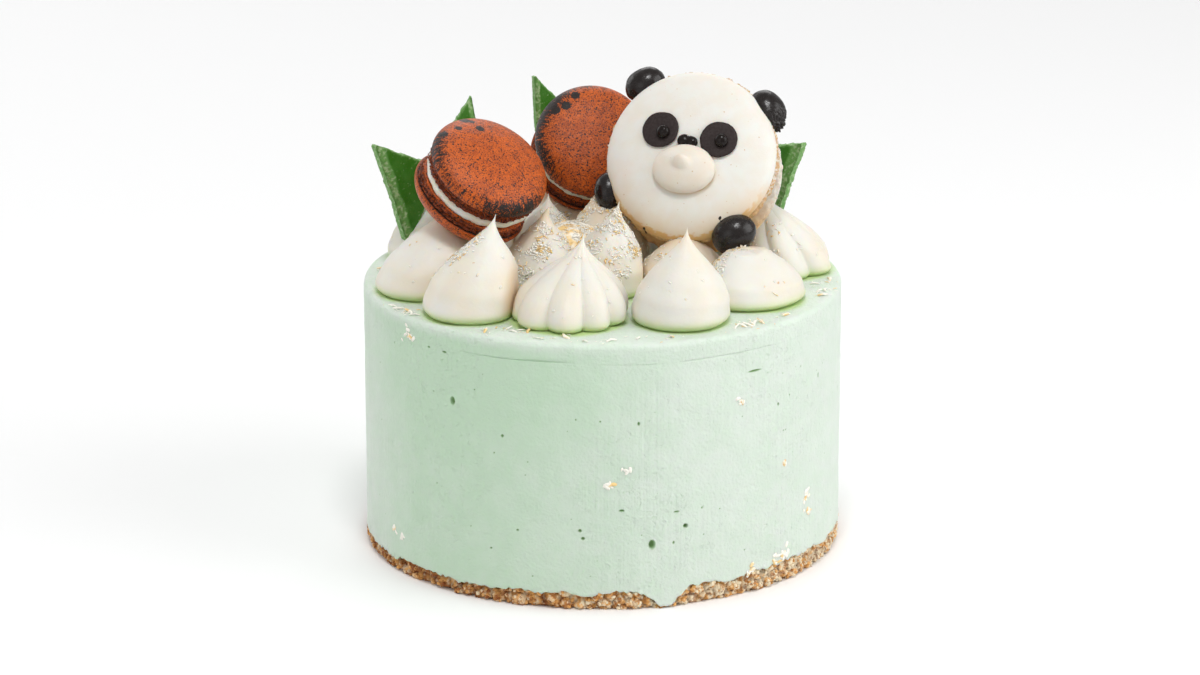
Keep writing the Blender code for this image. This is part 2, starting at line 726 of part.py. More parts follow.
def main():
    clear_scene()
    crumb_base()
    mousse_drum()
    panda_rooms = macaron_rooms(PANDA)
    cutters = panda_rooms + macaron_rooms(COCOA_LEFT) + macaron_rooms(COCOA_BACK)
    for macaron in (COCOA_LEFT, COCOA_BACK):
        whole_macaron(macaron, finish_of("cocoa_shell", COCOA, 0.6))
    drops = panda_macaron(panda_rooms)
    cutters += [copy_as_cutter(drop) for drop in drops]
    cutters += [green_shard(shard)[1] for shard in SHARDS]
    for kiss in KISSES:
        piped_cream(kiss, cutters)
    kiss_rooms = [kiss_solid(f"{kiss.name} room", kiss, None, 2 * GAP) for kiss in KISSES]
    for room in kiss_rooms:
        hide_as_cutter(room)
    cutters += kiss_rooms
    coconut_drift(cutters)
    for cutter in cutters:
        bpy.data.objects.remove(cutter)


main()
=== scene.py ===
"""Dresses a pandan mousse cake: crumbs, mousse, cream, coconut, macarons, a panda and green shards.

Everything is in metres, +Z up. The cake stands on the origin and its front faces -Y.
"""

import json
import math
import random
from typing import NamedTuple

import bmesh
import bpy
import numpy as np
from mathutils import Matrix, Vector, noise

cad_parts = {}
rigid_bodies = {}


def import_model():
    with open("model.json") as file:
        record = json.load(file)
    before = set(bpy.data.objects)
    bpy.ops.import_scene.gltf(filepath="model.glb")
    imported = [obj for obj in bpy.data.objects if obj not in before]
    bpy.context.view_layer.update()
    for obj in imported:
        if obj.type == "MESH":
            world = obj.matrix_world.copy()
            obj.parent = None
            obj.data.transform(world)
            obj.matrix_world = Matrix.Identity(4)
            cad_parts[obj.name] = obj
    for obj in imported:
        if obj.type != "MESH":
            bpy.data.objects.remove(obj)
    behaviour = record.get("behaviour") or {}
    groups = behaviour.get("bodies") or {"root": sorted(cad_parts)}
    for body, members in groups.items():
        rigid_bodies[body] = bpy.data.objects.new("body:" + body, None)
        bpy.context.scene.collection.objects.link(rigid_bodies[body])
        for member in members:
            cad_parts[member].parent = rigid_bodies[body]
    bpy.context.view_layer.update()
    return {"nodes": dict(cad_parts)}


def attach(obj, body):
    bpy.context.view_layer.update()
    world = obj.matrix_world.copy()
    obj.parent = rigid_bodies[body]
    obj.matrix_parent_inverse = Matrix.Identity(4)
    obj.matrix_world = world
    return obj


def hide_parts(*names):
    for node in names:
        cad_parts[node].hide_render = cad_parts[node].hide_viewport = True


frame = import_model()

bl_info = {
    "name": "Pandan mousse cake",
    "version": (1, 0, 0),
    "blender": (4, 5, 0),
    "location": "3D View > Sidebar > Cake",
    "description": "Makes a pandan mousse cake with piped cream, macarons and a panda, piece by piece",
    "category": "Object",
}

MM = 0.001
MM2 = MM * MM
WHITE_DUST = (0.7, 0.68, 0.66)
UP = Vector((0, 0, 1))

# Sizes of the cake that more than one piece uses, or that its solids have too
CAKE_RADIUS = 75 * MM
CAKE_TOP = 84.6 * MM
BASE_THICKNESS = 5.2 * MM
BASE_CRAG = 1.5 * MM
BASE_FLAT_RADIUS = 0.85 * CAKE_RADIUS
CRUMB_INSET = 0.55 * MM
DRIP_ANGLE = math.radians(-75.4)
DRIP_WIDTH = math.radians(3.2)
DRIP_HEIGHT = 0.6 * MM
LOWEST_EDGE = 1.6 * MM
PILED_ANGLE = math.radians(-42.0)
PILED_HEIGHT = 1.1 * MM
FLAKE_LENGTH = 4.2 * MM
FLAKE_WIDTH = 0.55 * MM
RIM_FLAKES = 18
FLAKE_SEED = 5
SHAPE_KINDS = 8
DRIFT_AT = (-8.0, -3.0)
DRIFT_RADIUS = 12.5 * MM
DRIFT_HEIGHT = 17.0 * MM
DRIFT_SIDES = 96
HEAP_TINT = 0.7


class Kiss(NamedTuple):
    """A piped drop of cream: its foot's centre, radius, height and the way its tip leans, in millimetres.

    peak is how fast it draws in towards its tip: a low value is a blunt drop. stretch is how much longer
    it is than round, along stretch_angle in degrees. tip is the thickness of its drawn tip, as a share of the
    radius, curl how far the tip bends over to the right, and pressed the height at which the drop is squashed
    flat, if it is.
    """

    name: str
    x: float
    y: float
    radius: float
    height: float
    lean_x: float = 0.0
    lean_y: float = 0.0
    peak: float = 1.35
    lobes: int = 0
    stretch: float = 1.0
    stretch_angle: float = 0.0
    tip: float = 0.05
    curl: float = 0.0
    pressed: float = 0.0


KISSES = (
    Kiss("cream_front_left_side", -55.6, -16.2, 15.2, 28, 10.2, 7),
    Kiss("cream_front_left", -39.9, -40.6, 15.4, 30.5, 7.5, 3),
    Kiss("cream_star_front", -10.6, -47.0, 18.7, 25, 5, 6, 1.6, lobes=9, tip=0.08),
    Kiss("cream_front_right", 23.6, -48.3, 15.0, 29, 2, 1),
    Kiss("cream_right", 46.3, -26.0, 16.2, 24, -4, 3.5, 2.1, stretch=1.1, stretch_angle=40, pressed=15.0),
    Kiss("cream_star_right", 56.6, 8.4, 16.3, 24, -7, 2, 1.0, lobes=8),
    Kiss("cream_back_right", 45.0, 37.0, 14.6, 28, -3, -3),
    Kiss("cream_star_back", 21.5, 53.0, 15.6, 24, -1, -4, lobes=9),
    Kiss("cream_back", -11.0, 56.0, 14.8, 28, -1, -1),
    Kiss("cream_star_back_left", -34.5, 45.5, 15.2, 24, 3, -3, lobes=8),
    Kiss("cream_left_side", -54.0, 21.5, 14.6, 26, 4, -1),
    Kiss("cream_inner_left", -18.6, -12.0, 14.0, 25.5, 0, 0, tip=0.24, curl=2.2),
    Kiss("cream_inner_front", 0.2, -17.0, 13.5, 29, 5, 0),
    Kiss("cream_inner_mid", 1.6, 5.0, 14.0, 31, 0.5, 0, 0.9),
    Kiss("cream_inner_right", 25.0, -13.5, 14.5, 21, 1, 1),
    Kiss("cream_inner_mid_left", -18.0, 10.0, 13.5, 24, 1, 0),
    Kiss("cream_inner_far_left", -37.0, 12.0, 13.5, 26, 2, 0),
    Kiss("cream_inner_back", -13.5, 34.0, 14.0, 27, -1, -1),
    Kiss("cream_inner_back_right", 25.5, 21.5, 14.5, 25, 0, 0),
)


class Macaron(NamedTuple):
    """A sandwich of two domed shells, in millimetres and degrees.

    The centre is the middle of the front shell's widest ring, and frill how far its ragged foot shows. The
    back shell has slipped sideways by slip, and stands open by splay, both towards splay_angle.
    """

    name: str
    centre: tuple
    normal: tuple
    radius: float
    back_radius: float
    dome: float
    foot: float
    filling: float
    splay: float
    splay_angle: float
    slip: float
    frill: float


MACARONS = (
    Macaron(
        "cocoa_left", (-35.1, -12, 122.2), (0.416, -0.46, 0.785), 19.2, 19, 6.8, 3.2, 3.6, 8, 200, 1.6, 4.4
    ),
    Macaron("cocoa_back", (-3, 28, 120.4), (0.14, -0.82, 0.555), 18.6, 18.4, 6.6, 3, 3.6, 3, 250, 1.6, 3.1),
    Macaron("panda", (27.7, 0, 122.2), (-0.235, -0.814, 0.532), 26.9, 26, 7, 3.2, 4.2, 3, 285, 2, 3.2),
)
PANDA = MACARONS[-1]
DOME_POWER = 2.6
FINE_SIDES = 160
FILLING_SHARE = 0.88
COCOA_FILLING_SHARE = 0.935

# The panda's features, in millimetres across and up from the middle of its face
EYE_PATCHES = (("left", -9.4, 6.5), ("right", 9.6, 4.6))
EYE_PATCH_RADIUS = 5.9
EYE_PATCH_THICKNESS = 0.7
PATCH_SIDES = 128
PUPILS = (("left", -8.2, 5.5, 0.3, 0.2), ("right", 10.6, 4.0, 0.1, 0.3))
PUPIL_RADIUS = 2.15
PUPIL_HEIGHT = 2.4
NOSE_AT = (-0.1, 3.1)
NOSE_LOBES = ((-1.15, 0.15, 2.05), (1.15, -0.1, 2.0))
NOSE_HEIGHT = 1.6
MUZZLE_AT = (0.2, -6.0)
MUZZLE_RADII = (8.9, 7.0)
MUZZLE_HEIGHT = 7.0
MUZZLE_LEAN = (-0.4, 2.6)


class Drop(NamedTuple):
    """A black chocolate drop at the panda's rim, in millimetres and degrees.

    across, up and out say where its foot is in the face's frame.
    """

    name: str
    across: float
    up: float
    out: float
    radius: float
    height: float
    stretch: float
    turn: float


DROPS = (
    Drop("ear_left", -19.4, 24.0, -5.0, 5.4, 6.5, 1.22, 35),
    Drop("ear_right", 20.7, 18.0, -5.0, 6.0, 6.8, 1.2, -55),
    Drop("paw_left", -25.7, -11.8, -3.6, 4.5, 5.8, 1.35, 100),
    Drop("paw_right", 17.0, -23.4, -1.6, 6.0, 7.4, 1.2, 35),
)


class Shard(NamedTuple):
    """A triangular shard of green chocolate: the corners of its front face and its thickness, in millimetres.

    slant is the width of the broken strip that slopes back along its edge from tip to point.
    """

    name: str
    tip: tuple
    side: tuple
    point: tuple
    thickness: float
    slant: float


SHARDS = (
    Shard("shard_left", (-70.8, 3.0, 126.0), (-51.0, 18.2, 115.0), (-60.6, 10.9, 89.0), 3.2, 2.8),
    Shard("shard_back_left", (-41.2, 19.5, 138.0), (-53.5, 17.0, 119.0), (-34.0, 17.5, 97.0), 2.6, 1.6),
    Shard("shard_back", (-21.7, 50.0, 136.8), (-6.3, 58.0, 118.8), (-20.2, 50.6, 93.0), 2.6, 1.6),
    Shard("shard_right", (62.6, 14.0, 123.6), (46.5, 27.0, 119.0), (53.5, 21.0, 93.0), 3.4, 3.0),
)

# The air holes that show at the front: degrees round the drum, height, half width and half height
PORES = (
    (-127.5, 62.1, 0.9, 1.3), (-113.9, 53.9, 0.45, 0.5), (-121.2, 67.1, 0.25, 0.25),
    (-134.9, 77.2, 0.5, 0.3), (-129.8, 77.0, 0.8, 0.35), (-81.7, 59.5, 0.4, 0.6), (-85.6, 32.1, 0.8, 0.4),
    (-72.6, 30.7, 0.9, 0.3), (-70.4, 25.9, 0.8, 0.7), (-78.5, 20.8, 1.05, 1.5), (-95.3, 25.7, 0.55, 0.5),
    (-94.6, 23.2, 0.6, 0.5), (-73.3, 20.9, 0.35, 0.5), (-110.2, 24.5, 0.4, 0.35), (-117.0, 17.5, 0.4, 0.3),
    (-44.3, 58.8, 0.4, 0.5), (-27.4, 62.5, 0.35, 0.8), (-90.6, 60.4, 0.3, 0.3), (-11.5, 52.4, 0.3, 0.8),
    (-52.0, 71.5, 2.6, 0.35),
)

# Flecks of coconut stuck to the drum's side: degrees round it, height and spread in millimetres
FLECK_RADIUS = 74.8
FLECKS = (
    (-84.4, 44.8, 0.5), (-88.6, 39.8, 0.65), (-55.9, 62.6, 0.5), (-41.9, 38.8, 0.45), (-32.7, 26.2, 0.7),
    (-33.5, 23.8, 0.5), (-31.5, 20.0, 0.7), (-43.7, 8.6, 1.0), (-41.5, 9.4, 0.9), (-53.0, 7.3, 0.7),
    (-149.6, 13.8, 0.6), (-145.9, 12.3, 0.75), (-142.3, 78.5, 1.1),
)


def amount(name, default, description, **more):
    return bpy.props.FloatProperty(name=name, description=description, default=default, min=0, **more)


def length(name, default, description):
    return amount(name, default, description, unit="LENGTH")


def colour(name, default, description):
    return bpy.props.FloatVectorProperty(
        name=name, description=description, default=default, size=3, min=0, max=1, subtype="COLOR"
    )


class MousseSettings(bpy.types.PropertyGroup):
    rim: length("Rim", 2.0 * MM, "Radius of the drum's rounded rim")
    wave: length("Unevenness", 0.26 * MM, "How far the scraped side wanders from a true round")
    pores: bpy.props.IntProperty(name="Pinholes", description="Air holes besides the large ones", default=110)
    mint: colour("Mint", (0.67, 0.745, 0.665), "The mousse")
    # Deep mint is the tone of the cloudier patches, and also painted shade in a band on the left of the side
    # and higher up on the left.
    shade: colour("Deep mint", (0.525, 0.685, 0.52), "Its cloudier patches, more of them towards the left")
    # Painted contact shade: the yellow-green round the feet of the drops of cream.
    lime_shade: colour("Lime", (0.47, 0.64, 0.20), "The deeper green where the drops of cream stand")
    # Painted shade: the darker green inside the air holes.
    hollow_shade: colour("Hollow", (0.22, 0.38, 0.15), "The inside of the air holes")


class CrumbSettings(bpy.types.PropertyGroup):
    smallest: length("Smallest crumb", 0.3 * MM, "Radius of the smallest crumb")
    largest: length("Largest crumb", 1.0 * MM, "Radius of the largest crumb")
    density: amount("Crumbs to the square metre", 1200000.0, "How thickly loose crumbs lie on the base")
    golden: colour("Golden crumb", (0.82, 0.42, 0.125), "Most of the crumbs")
    toasted: colour("Toasted crumb", (0.30, 0.085, 0.016), "The darkest crumbs")
    pale: colour("Pale crumb", (0.92, 0.78, 0.55), "Pale bits of nut")
    # Painted shade: the dark colour in the depths between the crumbs.
    gap: colour("Gap", (0.16, 0.048, 0.012), "The depth between the crumbs")


class CreamSettings(bpy.types.PropertyGroup):
    wobble: amount("Unevenness", 0.03, "How far a piped drop's width wanders, as a share of it")
    softness: amount("Softness", 0.22, "How gently a drop rounds off where it meets its neighbour")
    ivory: colour("Ivory", (0.755, 0.745, 0.69), "The cream")
    warm: colour("Warm ivory", (0.755, 0.705, 0.595), "Its warmer patches")
    # Painted warm shade and reflected glow where drops press together and under the macarons, ears and paws.
    crease: colour("Crease", (0.76, 0.49, 0.23), "The warm tone where drops press together or are sheltered")
    # Painted reflection: the green glow that the mousse throws on the lowest part of each drop.
    foot: colour("Foot", (0.58, 0.70, 0.32), "The green of the mousse that their feet take on")
    dust: colour("Coconut dust", (0.80, 0.58, 0.30), "Toasted dust where coconut lies")
    speck: colour("Speck", (0.60, 0.36, 0.14), "Tiny toasted specks in it")


class CoconutSettings(bpy.types.PropertyGroup):
    density: amount("Flakes to the square metre", 3600000.0, "How thickly flakes lie where they are heaped")
    white: colour("White flake", (0.98, 0.955, 0.87), "Most of the flakes")
    golden: colour("Golden flake", (0.92, 0.66, 0.30), "The toasted flakes")


class MacaronSettings(bpy.types.PropertyGroup):
    ruffle: length("Ruffle", 0.7 * MM, "Depth of the frills on the shells' feet")
    cocoa: colour("Cocoa", (0.64, 0.118, 0.006), "The cocoa shells")
    cocoa_dark: colour("Dark cocoa", (0.25, 0.036, 0.004), "Their cloudier patches")
    cocoa_foot: colour("Cocoa foot", (0.17, 0.030, 0.008), "The crumbly feet of the cocoa shells")
    soot: colour("Black cocoa", (0.014, 0.008, 0.006), "Specks and brushed streaks on them")
    filling: colour("Filling", (0.72, 0.66, 0.52), "The filling")
    shell: colour("Panda shell", (0.77, 0.76, 0.71), "The panda's shells")
    # Also painted warm shade on the back shell's low side and a painted shadow under the muzzle.
    gold: colour("Panda gold", (0.70, 0.45, 0.19), "The browned edge of the panda's shells")
    tan: colour("Panda foot", (0.56, 0.36, 0.16), "The frilled foot of the panda's shells")


class PandaSettings(bpy.types.PropertyGroup):
    patch: colour("Eye patch", (0.024, 0.015, 0.014), "The matt black of the eye patches")
    black: colour("Black", (0.008, 0.005, 0.004), "The black chocolate of the pupils, nose, ears and paws")
    bloom: colour("Bloom", (0.042, 0.032, 0.030), "The greyish bloom on the black chocolate")


class ShardSettings(bpy.types.PropertyGroup):
    ragged: length("Raggedness", 0.7 * MM, "How far the broken edges wander")
    green: colour("Green", (0.034, 0.165, 0.008), "The flat faces")
    edge: colour("Broken edge", (0.14, 0.32, 0.08), "The lighter, broken edges")
    powder: colour("Powder", (0.45, 0.58, 0.33), "The pale powder on them")


class StageSettings(bpy.types.PropertyGroup):
    floor: colour("Floor", (0.92, 0.92, 0.92), "The plain pale floor")
    top: amount("Top light", 5.6, "Power of the large soft light overhead, in watts")
    side: amount("Side light", 6.9, "Power of the soft light at the right, in watts")
    fill: amount("Fill", 1.0, "Power of the weak lights at the left and behind, in watts")
    sky: amount("Surrounding light", 0.5, "Strength of the soft light from all round")


# Shader and geometry trees


class Nodes:
    """Adds nodes to a tree. What feeds an input is a plain value or another node's output."""

    def __init__(self, tree):
        self.tree = tree

    def feed(self, socket, value):
        if isinstance(value, bpy.types.NodeSocket):
            self.tree.links.new(value, socket)
        else:
            socket.default_value = value

    def add(self, kind, feeds=None, **settings):
        made = self.tree.nodes.new(kind)
        for name, value in settings.items():
            setattr(made, name, value)
        for name, value in (feeds or {}).items():
            self.feed(made.inputs[name], value)
        return made

    def math(self, operation, *values):
        made = self.add("ShaderNodeMath", operation=operation)
        for socket, value in zip(made.inputs, values):
            self.feed(socket, value)
        return made.outputs[0]

    def times(self, first, second):
        return self.math("MULTIPLY", first, second)

    def times_plus(self, first, second, third):
        """The first two multiplied, with the third added."""
        return self.math("MULTIPLY_ADD", first, second, third)

    def mix(self, share, first, second):
        """A colour between two, by share. Each is another node's output or red, green and blue."""
        ends = [end if isinstance(end, bpy.types.NodeSocket) else (*end, 1.0) for end in (first, second)]
        return self.add("ShaderNodeMix", {0: share, 6: ends[0], 7: ends[1]}, data_type="RGBA").outputs[2]

    def over(self, base, colour, mask, share=None):
        """The base with a colour laid over it where the mask is 1, as strongly as share says."""
        return self.mix(mask if share is None else self.times(mask, share), base, colour)

    def ramp(self, value, low, high):
        """0 below low and 1 above high, with a smooth step between. It falls where high is the lower."""
        if low < high:
            span = {"Value": value, "From Min": low, "From Max": high}
        else:
            span = {"Value": value, "From Min": high, "From Max": low, "To Min": 1.0, "To Max": 0.0}
        return self.add("ShaderNodeMapRange", span, interpolation_type="SMOOTHSTEP").outputs[0]

    def noise(self, vector, scale, detail=2.0):
        feeds = {"Vector": vector, "Scale": scale, "Detail": detail}
        return self.add("ShaderNodeTexNoise", feeds).outputs[0]

    def scaled(self, vector, factors):
        made = self.add("ShaderNodeVectorMath", operation="MULTIPLY")
        self.feed(made.inputs[0], vector)
        self.feed(made.inputs[1], factors)
        return made.outputs[0]

    def attribute(self, name, kind="Fac"):
        return self.add("ShaderNodeAttribute", attribute_name=name).outputs[kind]


def opened(name, kind, inputs, output, sort):
    """A new tree with named inputs and one output: its nodes, its input sockets and where its output goes."""
    tree = bpy.data.node_groups.new(name, kind)
    for label, socket, default in inputs:
        made = tree.interface.new_socket(name=label, in_out="INPUT", socket_type="NodeSocket" + socket)
        if default is not None:
            made.default_value = default
    tree.interface.new_socket(name=output, in_out="OUTPUT", socket_type="NodeSocket" + sort)
    nodes = Nodes(tree)
    entry = nodes.add("NodeGroupInput").outputs
    return nodes, entry, nodes.add("NodeGroupOutput").inputs[0]


PATTERN_INPUTS = (("Vector", "Vector", None), ("Scale", "Float", 1.0))


def speck_group():
    """Small irregular dots: one in each cell that share picks, half as wide as size."""
    inputs = (*PATTERN_INPUTS, ("Size", "Float", 0.3), ("Share", "Float", 0.3))
    nodes, entry, leave = opened("specks", "ShaderNodeTree", inputs, "Mask", "Float")
    place = {"Vector": entry["Vector"], "Scale": entry["Scale"]}
    wander = nodes.add("ShaderNodeTexNoise", {**place, "Detail": 2.0})
    shift = nodes.add("ShaderNodeVectorMath", operation="MULTIPLY_ADD")
    nodes.feed(shift.inputs[0], wander.outputs[1])
    nodes.feed(shift.inputs[1], nodes.math("DIVIDE", 0.9, entry["Scale"]))
    nodes.feed(shift.inputs[2], entry["Vector"])
    cells = nodes.add("ShaderNodeTexVoronoi", {"Vector": shift.outputs[0], "Scale": entry["Scale"]})
    parts = nodes.add("ShaderNodeSeparateColor", {"Color": cells.outputs["Color"]})
    picked = nodes.math("LESS_THAN", parts.outputs[0], entry["Share"])
    reach = nodes.times(entry["Size"], nodes.math("ADD", 0.5, parts.outputs[1]))
    near = nodes.math("SUBTRACT", reach, cells.outputs["Distance"])
    nodes.feed(leave, nodes.times(nodes.ramp(near, 0.0, 0.07), picked))
    return nodes.tree


def cloud_group():
    """Soft patches between 0 and 1."""
    nodes, entry, leave = opened("clouds", "ShaderNodeTree", PATTERN_INPUTS, "Share", "Float")
    nodes.feed(leave, nodes.ramp(nodes.noise(entry["Vector"], entry["Scale"], 3.0), 0.32, 0.68))
    return nodes.tree


def grain_group():
    """The height of a fine grain with a coarser swell under it."""
    inputs = (*PATTERN_INPUTS, ("Swell", "Float", 0.5))
    nodes, entry, leave = opened("grain", "ShaderNodeTree", inputs, "Height", "Float")
    fine = nodes.noise(entry["Vector"], entry["Scale"], 3.0)
    broad = nodes.noise(entry["Vector"], nodes.times(entry["Scale"], 0.12), 2.0)
    nodes.feed(leave, nodes.math("ADD", fine, nodes.times(broad, entry["Swell"])))
    return nodes.tree


GROUPS = {"specks": speck_group, "clouds": cloud_group, "grain": grain_group}


class Finish(Nodes):
    """A material of one Principled shader, whose patterns and shared effects read place."""

    def __init__(self, name, **constants):
        self.material = bpy.data.materials.new(name)
        self.material.use_nodes = True
        super().__init__(self.material.node_tree)
        self.shader = self.tree.nodes["Principled BSDF"]
        for key, value in constants.items():
            self.shader.inputs[key.replace("_", " ").title().replace("Ior", "IOR")].default_value = value
        self.place = self.add("ShaderNodeTexCoord").outputs["Object"]

    def effect(self, name, **feeds):
        group = bpy.data.node_groups.get(name) or GROUPS[name]()
        made = self.add("ShaderNodeGroup", node_tree=group)
        feeds.setdefault("Vector", self.place)
        for key, value in feeds.items():
            self.feed(made.inputs[key], value)
        return made.outputs[0]

    def cloudy(self, least, span, scale):
        """A value that drifts between least and least plus span in soft patches."""
        return self.times_plus(self.effect("clouds", Scale=scale), span, least)

    def paint(self, base, roughness):
        self.feed(self.shader.inputs["Base Color"], base)
        self.feed(self.shader.inputs["Roughness"], roughness)
        return self

    def relief(self, height, distance, strength=1.0):
        feeds = {"Height": height, "Distance": distance, "Strength": strength}
        self.feed(self.shader.inputs["Normal"], self.add("ShaderNodeBump", feeds).outputs[0])
        return self.material

    def grained(self, scale, swell, distance, strength=1.0):
        return self.relief(self.effect("grain", Scale=scale, Swell=swell), distance, strength)


def mousse_finish(look):
    """Matt mint mousse: cloudy, finely grained and scraped upright, with painted shade in a band on its left
    and higher up on its left, painted contact shade round the drops' feet, and painted shade in its air
    holes.
    """
    made = Finish(
        "mousse finish",
        subsurface_weight=0.35,
        subsurface_scale=2.5 * MM,
        subsurface_radius=(0.6, 1.0, 0.5),
        specular_ior_level=0.35,
    )
    across, _, height = made.add("ShaderNodeSeparateXYZ", {"Vector": made.place}).outputs
    # Painted shade: darker in a band on the left of the side, short of its far edge, and higher up on the
    # left just under the rim, fading out at the rim.
    left = made.times(made.ramp(across, 35 * MM, -50 * MM), made.ramp(across, -78 * MM, -55 * MM))
    left = made.times(left, made.ramp(height, CAKE_TOP, CAKE_TOP - 6 * MM))
    upper_shade = made.times(made.ramp(across, 40 * MM, -20 * MM), made.ramp(height, 40 * MM, 70 * MM))
    upper_shade = made.times(upper_shade, made.ramp(height, CAKE_TOP - 1 * MM, CAKE_TOP - 4 * MM))
    shade_and_clouds = made.times_plus(upper_shade, 0.45, made.cloudy(left, 0.3, 130.0))
    base = made.mix(made.times(shade_and_clouds, 0.75), look.mint, look.shade)
    # Painted contact shade round the feet of the drops.
    base = made.over(base, look.lime_shade, made.attribute("near"), 0.8)
    # Painted shade inside the air holes.
    base = made.over(base, look.hollow_shade, made.attribute("pit"))
    scraped = made.noise(made.scaled(made.place, (1.0, 1.0, 0.03)), 520.0)
    where = made.ramp(made.noise(made.place, 30.0, 1.0), 0.48, 0.62)
    dimples = made.times(made.effect("specks", Scale=620.0, Size=0.4, Share=0.35), where)
    worn = made.times_plus(dimples, -0.6, made.times(made.times(scraped, where), 1.5))
    height = made.math("ADD", made.effect("grain", Scale=1050.0, Swell=1.9), worn)
    return made.paint(base, made.cloudy(0.42, 0.14, 160.0)).relief(height, 0.38 * MM, 0.9)


def crumb_finish(look):
    """Baked crumb, mealy: coloured by its tint, with painted shade making it darker on the left and between
    the lumps.
    """
    made = Finish("crumb finish", specular_ior_level=0.4)
    across = made.add("ShaderNodeSeparateXYZ", {"Vector": made.place}).outputs[0]
    # Painted shade: darker towards the left, away from the side light, in soft patches.
    baked = made.cloudy(made.ramp(across, -80 * MM, 60 * MM), 0.16, 90.0)
    tint = made.times_plus(baked, 0.38, made.times(made.attribute("tint"), 0.62))
    base = made.mix(made.ramp(tint, 0.15, 0.6), look.toasted, look.golden)
    base = made.over(base, look.pale, made.ramp(tint, 0.56, 0.8))
    base = made.over(base, look.pale, made.ramp(made.noise(made.place, 520.0, 4.0), 0.5, 0.64), 0.6)
    base = made.over(base, look.toasted, made.effect("specks", Scale=700.0, Size=0.5, Share=0.35), 0.6)
    # Painted shade in the spaces between the lumps of crumb.
    base = made.over(base, look.gap, made.attribute("gap"), 0.72)
    return made.paint(base, 0.7).grained(1900.0, 1.5, 0.4 * MM)


def cream_finish(look):
    """Whipped cream: silky ivory with warm patches and specks, painted warm shade where drops press together
    or are sheltered, a painted green reflection of the mousse at their feet, and dusted where coconut lies.
    """
    made = Finish(
        "cream finish",
        subsurface_weight=0.5,
        subsurface_scale=4.0 * MM,
        subsurface_radius=(1.0, 0.6, 0.3),
        specular_ior_level=0.4,
    )
    base = made.mix(made.effect("clouds", Scale=60.0), look.ivory, look.warm)
    # Painted warm shade in the creases and sheltered places.
    base = made.over(base, look.crease, made.attribute("crease"), 0.75)
    cover = made.math("MINIMUM", made.attribute("cover"), 1.0)
    dusty = made.times(cover, made.ramp(made.noise(made.place, 330.0, 4.0), 0.45, 0.66))
    base = made.over(base, look.dust, dusty, 0.22)
    height = made.add("ShaderNodeSeparateXYZ", {"Vector": made.place}).outputs[2]
    # Painted reflection of the mousse: green on the lowest 4 mm of each drop.
    base = made.over(base, look.foot, made.ramp(height, CAKE_TOP + 4 * MM, CAKE_TOP), 0.85)
    base = made.over(base, look.speck, made.effect("specks", Scale=420.0, Size=0.16, Share=0.05), 0.7)
    return made.paint(base, made.cloudy(0.42, 0.15, 240.0)).grained(900.0, 2.0, 0.10 * MM, 0.7)


def coconut_finish(look):
    """Coconut, white or toasted by each flake's tint, with the toasted ones in patches."""
    made = Finish("coconut finish", specular_ior_level=0.12)
    toasted = made.times_plus(made.attribute("tint"), 0.55, made.noise(made.place, 230.0))
    base = made.mix(made.ramp(toasted, 0.84, 1.02), look.white, look.golden)
    return made.paint(base, 0.75).grained(2500.0, 0.5, 0.04 * MM)


def cocoa_finish(look):
    """Cocoa shell: terracotta, densely specked with black, brushed black where its soot mask says so, and
    painted black under the lip of its dome as a shadow line.
    """
    made = Finish("cocoa finish", specular_ior_level=0.34)
    own = made.place = made.attribute("own", "Vector")
    mottled = made.cloudy(made.cloudy(0.0, 0.35, 0.3), 0.5, 2.2)
    base = made.mix(mottled, look.cocoa, look.cocoa_dark)
    foot = made.attribute("foot")
    baked = made.math("MINIMUM", foot, 1.0)
    crisp = made.times_plus(made.ramp(made.noise(own, 1.6, 3.0), 0.62, 0.46), 0.75, 0.25)
    base = made.over(base, look.cocoa_foot, baked, crisp)
    # Painted shadow: black under the dome's overhanging lip, where the foot mask is above 1.
    base = made.over(base, look.soot, made.ramp(foot, 1.0, 1.6), 0.85)
    fine = made.times(made.effect("specks", Scale=2.4, Size=0.42, Share=0.55), 0.9)
    coarse = made.effect("specks", Scale=1.5, Size=0.36, Share=0.32)
    flecked = made.times_plus(made.noise(own, 2.4, 3.0), 0.8, made.attribute("soot"))
    streaks = made.noise(made.attribute("brushed", "Vector"), 1.0, 4.0)
    brushed = made.ramp(made.times_plus(streaks, 0.8, flecked), 1.02, 1.2)
    base = made.over(base, look.soot, made.math("MAXIMUM", made.math("MAXIMUM", fine, coarse), brushed))
    pitted = made.times(made.times(made.noise(own, 1.5, 4.0), baked), 7.0)
    height = made.math("ADD", made.effect("grain", Scale=3.0, Swell=1.5), pitted)
    return made.paint(base, made.cloudy(0.3, 0.16, 1.2)).relief(height, 0.14 * MM)


def filling_finish(look):
    """Butter cream filling."""
    made = Finish("filling finish", subsurface_weight=0.3, subsurface_scale=2.0 * MM)
    base = made.mix(made.effect("clouds", Scale=300.0), look.filling, look.shell)
    return made.paint(base, 0.5).grained(900.0, 1.5, 0.15 * MM)


